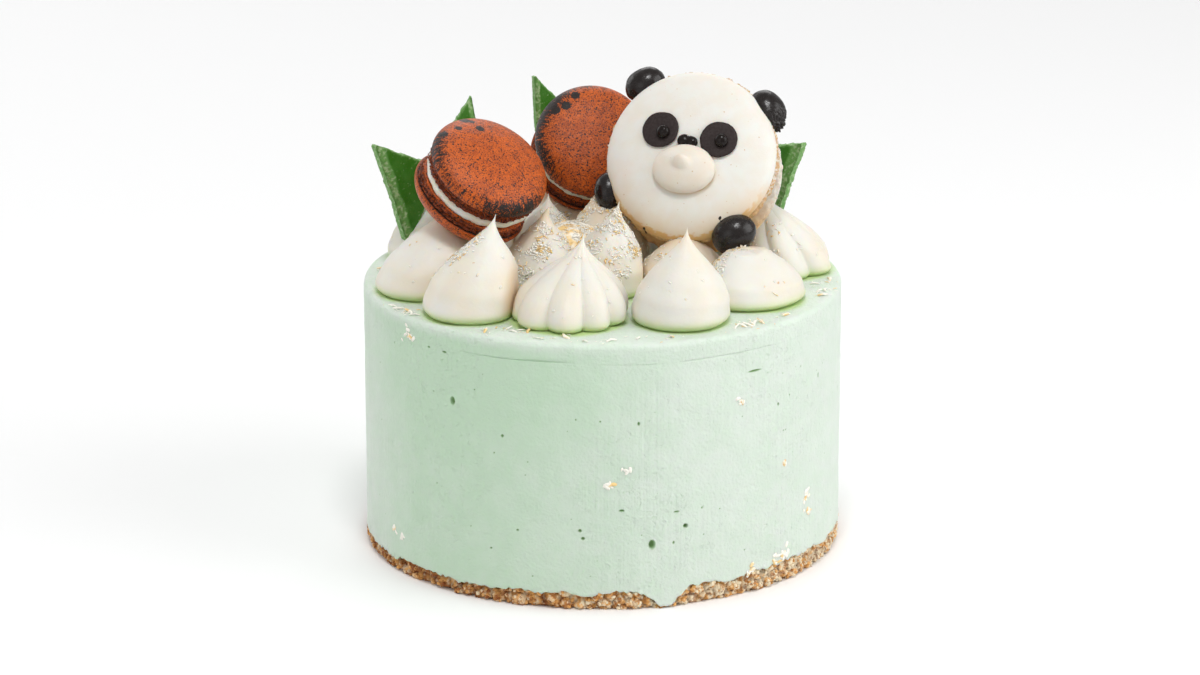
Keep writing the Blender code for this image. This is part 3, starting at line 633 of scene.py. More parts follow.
def panda_finish(look):
    """Ivory shell: tiny tan and black specks, brown towards its lower edge, with painted warm shade low on
    the back shell and a painted shadow under the muzzle, and a tan frilled foot.
    """
    made = Finish(
        "panda shell finish", subsurface_weight=0.2, subsurface_scale=2.0 * MM, specular_ior_level=0.35
    )
    own = made.place = made.attribute("own", "Vector")
    base = made.mix(made.cloudy(made.attribute("gold"), 0.12, 0.18), look.shell, look.gold)
    base = made.over(base, look.tan, made.attribute("foot"), made.ramp(made.noise(own, 1.1, 3.0), 0.3, 0.6))
    base = made.over(base, look.tan, made.effect("specks", Scale=0.6, Size=0.12, Share=0.35), 0.75)
    base = made.over(base, look.soot, made.ramp(made.attribute("soot"), 0.4, 0.6))
    return made.paint(base, made.cloudy(0.48, 0.15, 0.9)).grained(2.4, 1.5, 0.05 * MM)


def patch_finish(look):
    """Matt black icing with a fine grain."""
    made = Finish("eye patch finish", specular_ior_level=0.22)
    base = made.mix(made.cloudy(0.0, 0.6, 1500.0), look.patch, look.bloom)
    return made.paint(base, 0.62).grained(2600.0, 0.5, 0.06 * MM)


def black_finish(look, name="black drop finish", gloss=0.2, bloom=0.12, shine=0.4):
    """Black chocolate with a soft gloss, a greyish bloom and a few white specks."""
    made = Finish(name, specular_ior_level=shine)
    base = made.mix(made.cloudy(0.0, bloom, 500.0), look.black, look.bloom)
    base = made.over(base, WHITE_DUST, made.effect("specks", Scale=480.0, Size=0.1, Share=0.1))
    return made.paint(base, made.cloudy(gloss, 0.1, 900.0)).grained(1300.0, 1.5, 0.06 * MM)


def shard_finish(look):
    """Green chocolate: smooth on its faces, lighter and mealy on its broken edges, and powdered."""
    made = Finish("green chocolate finish", specular_ior_level=0.25)
    edge = made.attribute("edge")
    base = made.mix(made.cloudy(0.0, 0.2, 260.0), look.green, look.edge)
    base = made.over(base, look.edge, edge)
    level = made.times_plus(edge, 0.14, made.noise(made.place, 900.0, 4.0))
    base = made.over(base, look.powder, made.ramp(level, 0.6, 0.8), 0.65)
    return made.paint(base, 0.5).grained(1500.0, 1.2, 0.15 * MM)


# The inputs that both geometry trees have after their own
SHAPE_INPUTS = (
    ("Shapes", "Collection", None),
    ("Smallest", "Float", 0.5),
    ("Largest", "Float", 1.0),
    ("Tumble", "Float", 0.2),
    ("Seed", "Int", 0),
    ("Finish", "Material", None),
)


def strew_tree():
    """Strews a collection's shapes over a surface, thickest where its cover attribute is highest."""
    inputs = (("Surface", "Geometry", None), ("Density", "Float", 1.0), *SHAPE_INPUTS)
    nodes, entry, leave = opened("strew", "GeometryNodeTree", inputs, "Geometry", "Geometry")
    cover = nodes.add("GeometryNodeInputNamedAttribute", {"Name": "cover"}, data_type="FLOAT")
    density = nodes.times(cover.outputs[0], entry["Density"])
    feeds = {"Mesh": entry["Surface"], "Density": density, "Seed": entry["Seed"]}
    spread = nodes.add("GeometryNodeDistributePointsOnFaces", feeds, distribute_method="RANDOM")
    return placed(nodes, entry, leave, spread.outputs["Points"], spread.outputs["Rotation"])


def pin_tree():
    """Puts a collection's shapes on a mesh's vertices, turned by its turn attribute."""
    inputs = (("Spots", "Geometry", None), *SHAPE_INPUTS)
    nodes, entry, leave = opened("pin", "GeometryNodeTree", inputs, "Geometry", "Geometry")
    points = nodes.add("GeometryNodeMeshToPoints", {"Mesh": entry["Spots"]})
    turn = nodes.add("GeometryNodeInputNamedAttribute", {"Name": "turn"}, data_type="FLOAT_VECTOR")
    rotation = nodes.add("FunctionNodeEulerToRotation", {"Euler": turn.outputs[0]})
    return placed(nodes, entry, leave, points.outputs[0], rotation.outputs[0])


def placed(nodes, entry, leave, points, rotation):
    """The end of both trees: shapes on points, tumbled, sized and tinted at random, then made real."""

    def draw(kind, low, high, offset):
        made = nodes.add("FunctionNodeRandomValue", data_type=kind)
        first = {"FLOAT_VECTOR": 0, "FLOAT": 2, "INT": 4}[kind]
        nodes.feed(made.inputs[first], low)
        nodes.feed(made.inputs[first + 1], high)
        nodes.feed(made.inputs["Seed"], nodes.math("ADD", entry["Seed"], float(offset)))
        return made.outputs[first // 2]

    def step(kind, feeds, **settings):
        return nodes.add(kind, feeds, **settings).outputs[0]

    sway = draw("FLOAT_VECTOR", (-1.0, -1.0, -math.pi), (1.0, 1.0, math.pi), 1)
    limit = step("ShaderNodeCombineXYZ", {"X": entry["Tumble"], "Y": entry["Tumble"], "Z": 1.0})
    lean = step("FunctionNodeEulerToRotation", {"Euler": nodes.scaled(sway, limit)})
    feeds = {"Rotation": rotation, "Rotate By": lean}
    turned = step("FunctionNodeRotateRotation", feeds, rotation_space="LOCAL")
    feeds = {"Collection": entry["Shapes"], "Separate Children": True, "Reset Children": True}
    feeds = {
        "Points": points,
        "Instance": step("GeometryNodeCollectionInfo", feeds),
        "Pick Instance": True,
        "Instance Index": draw("INT", 0, SHAPE_KINDS - 1, 3),
        "Rotation": turned,
        "Scale": draw("FLOAT", entry["Smallest"], entry["Largest"], 2),
    }
    many = step("GeometryNodeInstanceOnPoints", feeds)
    feeds = {"Geometry": many, "Name": "tint", "Value": draw("FLOAT", 0.0, 1.0, 4)}
    tinted = step("GeometryNodeStoreNamedAttribute", feeds, data_type="FLOAT", domain="INSTANCE")
    real = step("GeometryNodeRealizeInstances", {"Geometry": tinted})
    dressed = step("GeometryNodeSetMaterial", {"Geometry": real, "Material": entry["Finish"]})
    nodes.feed(leave, dressed)
    return nodes.tree


TREES = {"strew": strew_tree, "pin": pin_tree}


def grown(name, surface, tree_name, shapes, **inputs):
    """A plain mesh object: what a geometry tree makes of the surface and the shapes, which it uses up."""
    tree = bpy.data.node_groups.get(tree_name) or TREES[tree_name]()
    box = bpy.data.collections.new(f"{name} shapes")
    for shape in shapes:
        box.objects.link(shape)
    carrier = linked(name, surface)
    modifier = carrier.modifiers.new(tree_name, "NODES")
    modifier.node_group = tree
    sockets = {item.name: item.identifier for item in tree.interface.items_tree if item.in_out == "INPUT"}
    for key, value in {"Shapes": box, **inputs}.items():
        modifier[sockets[key]] = value
    graph = bpy.context.evaluated_depsgraph_get()
    mesh = bpy.data.meshes.new_from_object(carrier.evaluated_get(graph))
    bpy.data.objects.remove(carrier)
    for shape in shapes:
        bpy.data.objects.remove(shape)
    bpy.data.collections.remove(box)
    mesh.name = name
    mesh.shade_smooth()
    return linked(name, mesh)


def linked(name, data):
    made = bpy.data.objects.new(name, data)
    bpy.context.scene.collection.objects.link(made)
    return made


# Meshes


def unit(values):
    """Values held between 0 and 1."""
    return np.clip(values, 0.0, 1.0)


def wrapped(turn):
    """An angle brought within half a turn of zero."""
    return (turn + math.pi) % math.tau - math.pi


def written(mesh, name, values):
    """Writes a value or vector for each of a mesh's points."""
    values = np.asarray(values, float)
    kind, field = ("FLOAT_VECTOR", "vector") if values.ndim == 2 else ("FLOAT", "value")
    mesh.attributes.new(name, kind, "POINT").data.foreach_set(field, values.ravel())


def mesh_of(name, points, faces, material=None, layers=None):
    """A smooth-shaded mesh with one value or vector for each point in each layer."""
    mesh = bpy.data.meshes.new(name)
    mesh.from_pydata(points.tolist(), [], faces)
    for key, values in (layers or {}).items():
        written(mesh, key, values)
    if material:
        mesh.materials.append(material)
    mesh.shade_smooth()
    return mesh


def skin(rows):
    """Points and faces of a closed skin over rows of points, the lowest first, each anticlockwise from above.

    The first and last rows are closed by a point in their middle.
    """
    rows = np.asarray(rows, float)
    count, sides = rows.shape[:2]
    points = np.vstack([rows.reshape(-1, 3), rows[0].mean(0), rows[-1].mean(0)])
    index = np.arange(count * sides).reshape(count, sides)
    after = np.roll(index, -1, axis=1)
    quads = np.stack([index[:-1], after[:-1], after[1:], index[1:]], -1).reshape(-1, 4)
    low = np.stack([after[0], index[0], np.full(sides, count * sides)], -1)
    high = np.stack([index[-1], after[-1], np.full(sides, count * sides + 1)], -1)
    return points, quads.tolist() + low.tolist() + high.tolist()


def layer(values):
    """A value for each point of a skin, from one for each point of its rows."""
    values = np.asarray(values, float)
    flat = values.reshape(-1, *values.shape[2:])
    return np.concatenate([flat, values[0].mean(0)[None], values[-1].mean(0)[None]])


def shown(name, mesh, slot, *nodes):
    """The finished piece that rides on the cake, and stands for those nodes."""
    made = mesh if isinstance(mesh, bpy.types.Object) else linked(name, mesh)
    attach(made, "root")
    if nodes:
        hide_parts(*nodes)
    return made


def rough(points, scale, offset=0.0):
    """Smooth noise between about -1 and 1 at each point."""
    shift = Vector((offset, 2.3 * offset, -1.7 * offset))
    flat = np.asarray(points, float).reshape(-1, 3) * scale
    values = [noise.noise(Vector(spot) + shift) for spot in flat.tolist()]
    return np.array(values).reshape(np.shape(points)[:-1])


def circle(sides):
    """The angles round a ring, and the directions they point in."""
    angles = np.linspace(0, math.tau, sides, endpoint=False)
    return angles, np.stack([np.cos(angles), np.sin(angles), np.zeros(sides)], -1)


def raised(flat, heights):
    """Points with their heights."""
    return flat + np.asarray(heights)[..., None] * np.array((0.0, 0.0, 1.0))


def edge_height(angle):
    """The height, at the drum's side, of the ragged line between crumb base and mousse."""
    point = Vector((math.cos(angle), math.sin(angle), 0))
    crag = noise.noise(point * 9.0) + 0.7 * noise.noise(point * 24.0)
    height = BASE_THICKNESS + BASE_CRAG * (crag + 0.6 * math.cos(angle))
    from_drip = wrapped(angle - DRIP_ANGLE)
    if abs(from_drip) < DRIP_WIDTH:
        return DRIP_HEIGHT
    return max(height, LOWEST_EDGE)


def torn_edge(angles):
    """The edge's height at each angle, torn a little finer, and eased into its drip."""
    heights = np.array([edge_height(a) for a in angles])
    eased = np.mean([np.roll(heights, shift) for shift in (-2, -1, 0, 1, 2)], 0)
    ring = np.stack([np.cos(angles), np.sin(angles), 0 * angles], -1)
    torn = 0.9 * rough(ring, 45.0) + 0.7 * rough(ring, 110.0)
    piled = PILED_HEIGHT * unit(np.cos(angles - PILED_ANGLE)) ** 4
    return np.maximum(eased + MM * torn + piled * (eased > LOWEST_EDGE), DRIP_HEIGHT)


# Crumb base

BASE_SIDES = 1100
CRUMB_LUMP = 4.0 * MM
CRUMB_GRAIN = 1.3 * MM
LUMP_DEPTH = 1.7 * MM
GRAIN_DEPTH = 0.6 * MM
BASE_TUCK = 1.3 * MM


def lump(name, seed, flat):
    """A small angular lump about the origin, of radius 1, with a few faces."""
    draw = random.Random(seed)
    rows = []
    for height, width in ((-0.4, 0.95), (0.45, 0.85)):
        ring = []
        for way in circle(5)[1]:
            flat_spot = way * width * draw.uniform(0.7, 1.15)
            ring.append(flat_spot + np.array((0, 0, height * draw.uniform(0.8, 1.2))))
        rows.append(ring)
    points, faces = skin(rows)
    points[-2] *= 2.0
    points[-1] *= 1.8
    points[:, 2] *= flat
    return bpy.data.objects.new(name, mesh_of(name, points, faces))


def knobbly(points, size, offset=0.0):
    """Rounded knobs of that size, packed together: near 1 in a knob's middle and 0 in the gaps."""
    flat = np.asarray(points, float).reshape(-1, 3) / size + offset
    nearest = np.array([noise.voronoi(Vector(spot))[0][:2] for spot in flat.tolist()])
    gap = unit((nearest[:, 1] - nearest[:, 0]) / 0.45)
    return np.sqrt(gap).reshape(np.shape(points)[:-1])


def crumb_core(finish):
    """The base under its loose crumbs: a disc whose side is lumps of crumb, with painted shade in the spaces
    between them.
    """
    angles, ways = circle(BASE_SIDES)
    top = torn_edge(angles) - 0.2 * MM
    crag = 0.5 * MM * rough(ways, 19.0)
    rows, gaps, covers = [], [], []
    for share in np.linspace(0.0, 1.0, 15):
        spots = raised(ways * CAKE_RADIUS, share * top)
        lumps = knobbly(spots, CRUMB_LUMP)
        grains = knobbly(spots, CRUMB_GRAIN, 7.0)
        under = BASE_TUCK * max(0.0, 1 - share / 0.3) ** 2
        depth = LUMP_DEPTH * (1 - lumps) + GRAIN_DEPTH * (1 - grains) + under + crag
        rows.append(raised(ways * (CAKE_RADIUS - CRUMB_INSET - np.maximum(depth, 0.0))[:, None], share * top))
        # Painted shade for the spaces between the lumps.
        gaps.append(unit(1 - 1.5 * np.minimum(lumps, 0.35 + grains)))
        covers.append(lumps**2)
    rows.append(raised(ways * BASE_FLAT_RADIUS, np.full(BASE_SIDES, BASE_THICKNESS)))
    gaps.append(np.zeros(BASE_SIDES))
    covers.append(np.zeros(BASE_SIDES))
    points, faces = skin(rows)
    tint = unit(0.5 + 0.8 * rough(points, 420.0))
    cover = layer(covers)
    cover[-2:] = 0.0
    return mesh_of("base_core", points, faces, finish, {"cover": cover, "gap": layer(gaps), "tint": tint})


class CAKE_OT_base(bpy.types.Operator):
    """The crumb base: a craggy core with crumbs pressed all over its side"""

    bl_idname = "cake.base"
    bl_label = "Crumb base"

    def execute(self, context):
        look = context.scene.cake_crumb
        finish = crumb_finish(look)
        core = crumb_core(finish)
        shapes = [lump(f"crumb {i}", i, 0.8) for i in range(SHAPE_KINDS)]
        sizes = {"Density": look.density, "Smallest": look.smallest, "Largest": look.largest}
        sizes |= {"Tumble": 1.2, "Seed": 3, "Finish": finish}
        crumbs = grown("base_crumbs", core.copy(), "strew", shapes, **sizes)
        pressed_in(crumbs.data)
        shown("base_core", core, "crumb", "crumb_base")
        shown("base_crumbs", crumbs, "crumb")
        return {"FINISHED"}


def pressed_in(mesh):
    """Keeps crumbs above the floor, under the mousse and within the drum's round."""
    points = points_of(mesh)
    points[:, 2] = np.maximum(points[:, 2], 0.05 * MM)
    reach = np.linalg.norm(points[:, :2], axis=1)
    limit = CAKE_RADIUS - 0.05 * MM
    over = reach > limit
    points[over, :2] *= (limit / reach[over])[:, None]
    set_points(mesh, points)


def points_of(mesh):
    flat = np.empty(len(mesh.vertices) * 3)
    mesh.vertices.foreach_get("co", flat)
    return flat.reshape(-1, 3)


def set_points(mesh, points):
    mesh.vertices.foreach_set("co", points.ravel())
    mesh.update()


# Mousse

DRUM_SIDES = 448
PORE_SEED = 11
SIDE_BAND = 1.5 * MM
EDGE_ROUND = 0.4 * MM

# The mousse's lower edge, from underneath to the side: how far in and how far up, in millimetres
EDGE_PROFILE = ((1.6, 0.5), (0.9, 0.15), (0.35, 0.0), (0.1, 0.18))

# The rows up its side, as shares of the height, closest where the ridge is
SIDE_LEVELS = (*np.linspace(0.006, 0.925, 70), *np.linspace(0.929, 0.952, 16), *np.linspace(0.957, 1.0, 5))

# The broken ridge line under the rim, whose step and groove are in millimetres
RIDGE_ANGLE = math.radians(-84.0)
RIDGE_SPREAD = math.radians(38.0)
RIDGE_DROP = 6.6 * MM
RIDGE_EDGE = 0.12 * MM
RIDGE_FADE = 9 * MM
RIDGE_STEP = 0.3
GROOVE_WIDTH = 0.26 * MM
GROOVE_DEPTH = 0.45


def drum_rows(look):
    """The drum's rows, from its underside out to its torn lower edge, up its side and over its rim."""
    angles, ways = circle(DRUM_SIDES)
    edge = torn_edge(angles)
    bend = look.rim
    side_top = CAKE_TOP - bend
    rows = [raised(ways * BASE_FLAT_RADIUS, np.full(DRUM_SIDES, BASE_THICKNESS + 0.1 * MM))]
    for inset, lift in EDGE_PROFILE:
        rows.append(raised(ways * (CAKE_RADIUS - inset * MM), edge + lift * MM))
    foot = edge + EDGE_ROUND
    for share in SIDE_LEVELS:
        heights = foot + share * (side_top - edge - EDGE_ROUND)
        rows.append(raised(ways * (CAKE_RADIUS - uneven(ways, heights, look)[:, None]), heights))
    swell = uneven(ways, np.full(DRUM_SIDES, side_top), look)
    for step in range(1, 9):
        turn = math.pi / 2 * step / 8
        radius = CAKE_RADIUS - bend * (1 - math.cos(turn)) - swell * (1 - step / 8)
        top = side_top + bend * math.sin(turn) - 0.25 * MM * (1 + rough(ways * 3, 4.0)) * step / 8
        rows.append(raised(ways * radius[:, None], top))
    for radius in (*np.linspace(71.5, 44, 40), 40, 20):
        spots = ways * radius * MM
        dip = 0.25 * MM * (1 + rough(spots, 90.0))
        rows.append(raised(spots, CAKE_TOP - dip))
    return rows


def uneven(ways, heights, look):
    """How far the side lies inside the true round: a slow wander, and a broken ridge line under the rim."""
    spots = raised(ways * CAKE_RADIUS, heights)
    slow = rough(spots * np.array((1, 1, 0.5)), 40.0) + 0.6 * rough(spots, 110.0, 3.0)
    slow = slow + 0.35 * rough(spots, 330.0)
    line = CAKE_TOP - RIDGE_DROP + 0.9 * MM * rough(ways, 2.4, 5.0)
    below = 1 / (1 + np.exp((heights - line) / RIDGE_EDGE))
    off = np.abs(wrapped(np.arctan2(ways[:, 1], ways[:, 0]) - RIDGE_ANGLE)) / RIDGE_SPREAD
    strong = unit(0.75 + 1.6 * rough(ways, 9.0, 8.0)) * np.clip(2.2 - 1.8 * off, 0.15, 1.0)
    fade = unit(1 - (line - heights) / RIDGE_FADE)
    groove = np.exp(-(((heights - line) / GROOVE_WIDTH) ** 2))
    return look.wave * (1 + 0.6 * slow) + strong * MM * (RIDGE_STEP * below * fade + GROOVE_DEPTH * groove)


def all_pores(count):
    """The air holes of the front and others drawn at random: angle, height, half width and half height."""
    draw = random.Random(PORE_SEED)
    made = [(math.radians(a), z * MM, w * MM, h * MM) for a, z, w, h in PORES]
    for _ in range(count):
        size = draw.uniform(0.13, 0.26) * MM
        angle, height = draw.uniform(-math.pi, math.pi), draw.uniform(9, 79) * MM
        made.append((angle, height, size, size * draw.uniform(0.8, 1.5)))
    for _ in range(count // 4):
        angle = draw.uniform(0.0, math.pi)
        size = draw.uniform(0.35, 0.9) * MM
        made.append((angle, draw.uniform(12, 76) * MM, size, size * draw.uniform(0.5, 1.4)))
    return made


def refined(mesh, pores):
    """Makes the mesh finer round each pore, in two rounds."""
    shape = bmesh.new()
    shape.from_mesh(mesh)
    for cuts, margin in ((1, 1.3 * MM), (2, 0.55 * MM)):
        faces = [face for face in shape.faces if len(face.verts) == 4]
        middles = np.array([face.calc_center_median() for face in faces])
        turns = np.arctan2(middles[:, 1], middles[:, 0])
        on_side = np.linalg.norm(middles[:, :2], axis=1) > CAKE_RADIUS - SIDE_BAND
        picked = np.zeros(len(faces), bool)
        for angle, height, wide, high in pores:
            along = np.abs(wrapped(turns - angle)) * CAKE_RADIUS
            picked |= on_side & (along < wide + margin) & (np.abs(middles[:, 2] - height) < high + margin)
        edges = {edge for face, near in zip(faces, picked) if near for edge in face.edges}
        bmesh.ops.subdivide_edges(shape, edges=list(edges), cuts=cuts, use_grid_fill=True)
    shape.to_mesh(mesh)
    shape.free()


def pierced(mesh, pores):
    """Presses each pore into the mesh, and writes how deep in a pore each point lies, as a mask of painted
    shade for the holes.
    """
    refined(mesh, pores)
    points = points_of(mesh)
    turns = np.arctan2(points[:, 1], points[:, 0])
    reach = np.linalg.norm(points[:, :2], axis=1)
    side = reach > CAKE_RADIUS - 1.0 * MM
    depth, pit = np.zeros((2, len(points)))
    for angle, height, wide, high in pores:
        away = np.hypot(wrapped(turns - angle) * CAKE_RADIUS / wide, (points[:, 2] - height) / high)
        hole = unit(1 - away**2) ** 0.7
        lip = 0.08 * np.exp(-(((away - 1.2) / 0.22) ** 2))
        depth += side * min(wide, high) * (1.5 * hole - lip)
        pit = np.maximum(pit, side * unit(1.25 - away) * 1.6)
    points[:, :2] *= (1 - depth / np.maximum(reach, MM))[:, None]
    set_points(mesh, points)
    written(mesh, "pit", unit(pit))
    mesh.shade_smooth()


def cream_contact_shade(points):
    """Painted contact shade on the drum's top: how near each point is to the foot of a piped drop."""
    near = np.zeros(len(points))
    for kiss in KISSES:
        away = np.hypot(points[:, 0] / MM - kiss.x, points[:, 1] / MM - kiss.y)
        near = np.maximum(near, unit((kiss.radius + 1.0 - away) / 2.5))
    return near * (points[:, 2] > CAKE_TOP - 2 * MM)


class CAKE_OT_mousse(bpy.types.Operator):
    """The mousse drum: rounded rim, scraped side, air holes and a torn lower edge"""

    bl_idname = "cake.mousse"
    bl_label = "Mousse"

    def execute(self, context):
        look = context.scene.cake_mousse
        points, faces = skin(drum_rows(look))
        mesh = mesh_of("mousse_body", points, faces, mousse_finish(look))
        pierced(mesh, all_pores(look.pores))
        written(mesh, "near", cream_contact_shade(points_of(mesh)))
        shown("mousse_body", mesh, "mousse", "mousse_drum")
        return {"FINISHED"}


# Piped cream

KISS_SIDES = 144
STAR_SIDES = 234
KISS_LEVELS = np.concatenate(
    [
        np.linspace(0, 0.12, 12, endpoint=False),
        np.linspace(0.12, 0.9, 40, endpoint=False),
        np.linspace(0.9, 0.99, 9),
    ]
)
LOBE_DEPTH = 0.165
UNDERCUT = 0.13
UNDERCUT_LEVEL = 0.09
OVERLAP = 0.35 * MM
DROP_FOOT = 0.22
SINK_STEP = 0.2 * MM
SINK_STEPS = 200
SHADE_REACH = 11 * MM


def facing(centre, normal):
    """A frame at centre whose +Z points along normal and whose +Y is as near to world up as it can be."""
    out = Vector(normal).normalized()
    up = (UP - out.z * out).normalized()
    across = up.cross(out)
    return Matrix.Translation(centre) @ Matrix((across, up, out)).transposed().to_4x4()


def front_frame(macaron):
    return facing(Vector(macaron.centre) * MM, macaron.normal)


def back_frame(macaron):
    """The frame of the back shell: turned to face away, slipped sideways and splayed open on one side."""
    direction = math.radians(macaron.splay_angle)
    way = Vector((math.cos(direction), math.sin(direction), 0))
    hinge = Vector((-way.y, way.x, 0))
    tilt = math.radians(macaron.splay)
    drop = (2 * macaron.foot + macaron.filling) * MM + macaron.radius * MM * math.tan(tilt)
    place = Matrix.Translation(way * macaron.slip * MM + Vector((0, 0, -drop)))
    return front_frame(macaron) @ place @ Matrix.Rotation(-tilt, 4, hinge) @ Matrix.Rotation(math.pi, 4, "Y")


def drop_share(level):
    """A piped drop's radius at a share of its height: full at the foot, rounding over to its tip."""
    foot = 0.93 + 0.07 * unit(level / DROP_FOOT)
    over = unit((level - DROP_FOOT) / (1 - DROP_FOOT))
    return foot * np.sqrt(unit(1 - over**2.1))


class Presser(NamedTuple):
    """A thing that lies on the cream: its frame, lowest and highest point, width at a height and stretch."""

    frame: Matrix
    low: float
    high: float
    width: object
    stretch: float = 1.0

    def own(self, points):
        """How far the points are from its axis, and how high they are in its frame."""
        turn = np.array(self.frame.inverted())
        own = points @ turn[:3, :3].T + turn[:3, 3]
        return np.hypot(own[:, 0] / self.stretch, own[:, 1]), own[:, 2]

    def holds(self, points):
        away, height = self.own(points)
        return (height > self.low) & (height < self.high) & (away < self.width(height))

    def nearness(self, points, reach):
        """1 where it touches the points, down to 0 at that distance."""
        away, height = self.own(points)
        beside = np.maximum(away - self.width(np.clip(height, self.low, self.high)), 0.0)
        beyond = np.maximum(np.maximum(self.low - height, height - self.high), 0.0)
        return unit(1 - np.hypot(beside, beyond) / reach)


def drop_frame(drop):
    place = Matrix.Translation(Vector((drop.across, drop.up, drop.out)) * MM)
    return front_frame(PANDA) @ place @ Matrix.Rotation(math.radians(drop.turn), 4, "Z")


def pressers():
    """Everything that dents the cream: both shells of each macaron, and the panda's ears and paws."""
    made = []
    for macaron in MACARONS:
        dome = macaron.dome * MM
        front, back = (macaron.radius, front_frame(macaron)), (macaron.back_radius, back_frame(macaron))
        for radius, place in (front, back):

            def width(height, radius=radius * MM, dome=dome):
                return radius * unit(1 - (np.clip(height, 0, dome) / dome) ** 2) ** (1 / DOME_POWER)

            made.append(Presser(place, -(macaron.foot + macaron.filling) * MM, dome, width))
    for drop in DROPS:

        def width(height, drop=drop):
            return drop.radius * MM * drop_share(height / (drop.height * MM))

        made.append(Presser(drop_frame(drop), -2 * MM, drop.height * MM, width, drop.stretch))
    return made


def sunk_below(points, things):
    """Lowers each point that lies inside one of the things until it is just under it."""
    points = points.copy()
    active = np.arange(len(points))
    for _ in range(SINK_STEPS):
        inside = np.zeros(len(active), bool)
        for thing in things:
            inside |= thing.holds(points[active])
        active = active[inside]
        if not len(active):
            break
        points[active, 2] -= SINK_STEP
    points[:, 2] = np.maximum(points[:, 2], CAKE_TOP - 0.3 * MM)
    return points


def kiss_rows(kiss, look, seed):
    """The rows of a piped drop, pressed softly against its neighbours, and how much painted warm shade each
    point takes where it presses on them.
    """
    sides = STAR_SIDES if kiss.lobes else KISS_SIDES
    angles, ways = circle(sides)
    level = KISS_LEVELS[:, None]
    share = np.cos(math.pi / 2 * level) ** (0.35 + kiss.peak * level)
    share = share * (1 - UNDERCUT * np.maximum(0.0, 1 - level / UNDERCUT_LEVEL) ** 2)
    ring = np.broadcast_to(ways, (len(KISS_LEVELS), sides, 3)) + level[..., None] * np.array((0, 0, 1.6))
    wander = rough(ring, 1.1, seed) + 0.35 * rough(ring, 3.2, seed + 4)
    share = share * (1 + look.wobble * wander)
    share = (share**3 + (kiss.tip * np.sqrt(1 - level)) ** 3) ** (1 / 3)
    if kiss.lobes:
        uneven_turn = angles + 0.10 * np.sin(angles + seed) + 0.05 * np.sin(2 * angles + 2.3 * seed)
        wave = np.abs(np.sin(kiss.lobes * uneven_turn[None] / 2 + 0.9 * level)) ** 0.8
        share = share * (1 - LOBE_DEPTH * (1 - level) ** 0.25 * (1 - wave))
    else:
        share = share * (1 + 0.008 * np.sin(math.tau * 5 * level + angles[None]))
    bearing = angles - math.radians(kiss.stretch_angle)
    share = share / np.hypot(np.cos(bearing) / kiss.stretch, np.sin(bearing) * kiss.stretch)
    reach = ways[None, :, :2] * (kiss.radius * MM * share)[..., None]
    lean = np.array((kiss.lean_x, kiss.lean_y)) * MM * level[..., None] ** 1.4
    lean = lean + np.array((kiss.curl, 0.0)) * MM * level[..., None] ** 9
    foot = np.array((kiss.x, kiss.y)) * MM
    crease = np.zeros(share.shape)
    for other in KISSES:
        between = np.array((other.x, other.y)) * MM - foot
        distance = np.linalg.norm(between)
        if other is kiss or distance > (kiss.radius + other.radius) * MM:
            continue
        towards = between / distance
        squares = (kiss.radius**2 - other.radius**2) * MM2
        wall = (distance**2 + squares) / (2 * distance) + OVERLAP
        room = np.maximum(wall - (lean * towards).sum(-1), 0.01 * MM)
        along = (reach * towards).sum(-1) / room
        start = 1 - look.softness
        soft = start + look.softness * np.tanh((along - start) / look.softness)
        reach = reach * np.where(along > start, soft / np.maximum(along, 1e-6), 1.0)[..., None]
        pressed = 0.7 * unit((along - 0.86) / 0.2) + 0.25 * unit((along - 0.45) / 0.5)
        crease = np.maximum(crease, pressed * (1 - level) ** 0.8)
    flat = foot + lean + reach
    heights = np.broadcast_to(level, share.shape) * kiss.height
    if kiss.pressed:
        heights = np.minimum(heights, kiss.pressed + 0.12 * (heights - kiss.pressed) + 0.5 * wander)
    heights = CAKE_TOP - 0.25 * MM + heights * MM
    return np.concatenate([flat, heights[..., None]], -1), crease


class CAKE_OT_cream(bpy.types.Operator):
    """The piped drops of cream, pressed by their neighbours and dented by what lies on them"""

    bl_idname = "cake.cream"
    bl_label = "Piped cream"

    def execute(self, context):
        look = context.scene.cake_cream
        finish = cream_finish(look)
        things = pressers()
        for number, kiss in enumerate(KISSES):
            rows, crease = kiss_rows(kiss, look, 3.1 * number)
            points, faces = skin(rows)
            points[-1] = 1.5 * rows[-1].mean(0) - 0.5 * rows[-2].mean(0)
            points = sunk_below(points, things)
            name = kiss.name + "_piped"
            # Painted warm shade near the macarons, ears and paws.
            shelter_shade = np.max([thing.nearness(points, SHADE_REACH) for thing in things], axis=0)
            crease = np.maximum(layer(crease), 0.75 * shelter_shade**1.6)
            mesh = mesh_of(name, points, faces, finish, {"crease": crease})
            covered(mesh)
            shown(name, mesh, "cream", kiss.name)
        return {"FINISHED"}


# Coconut


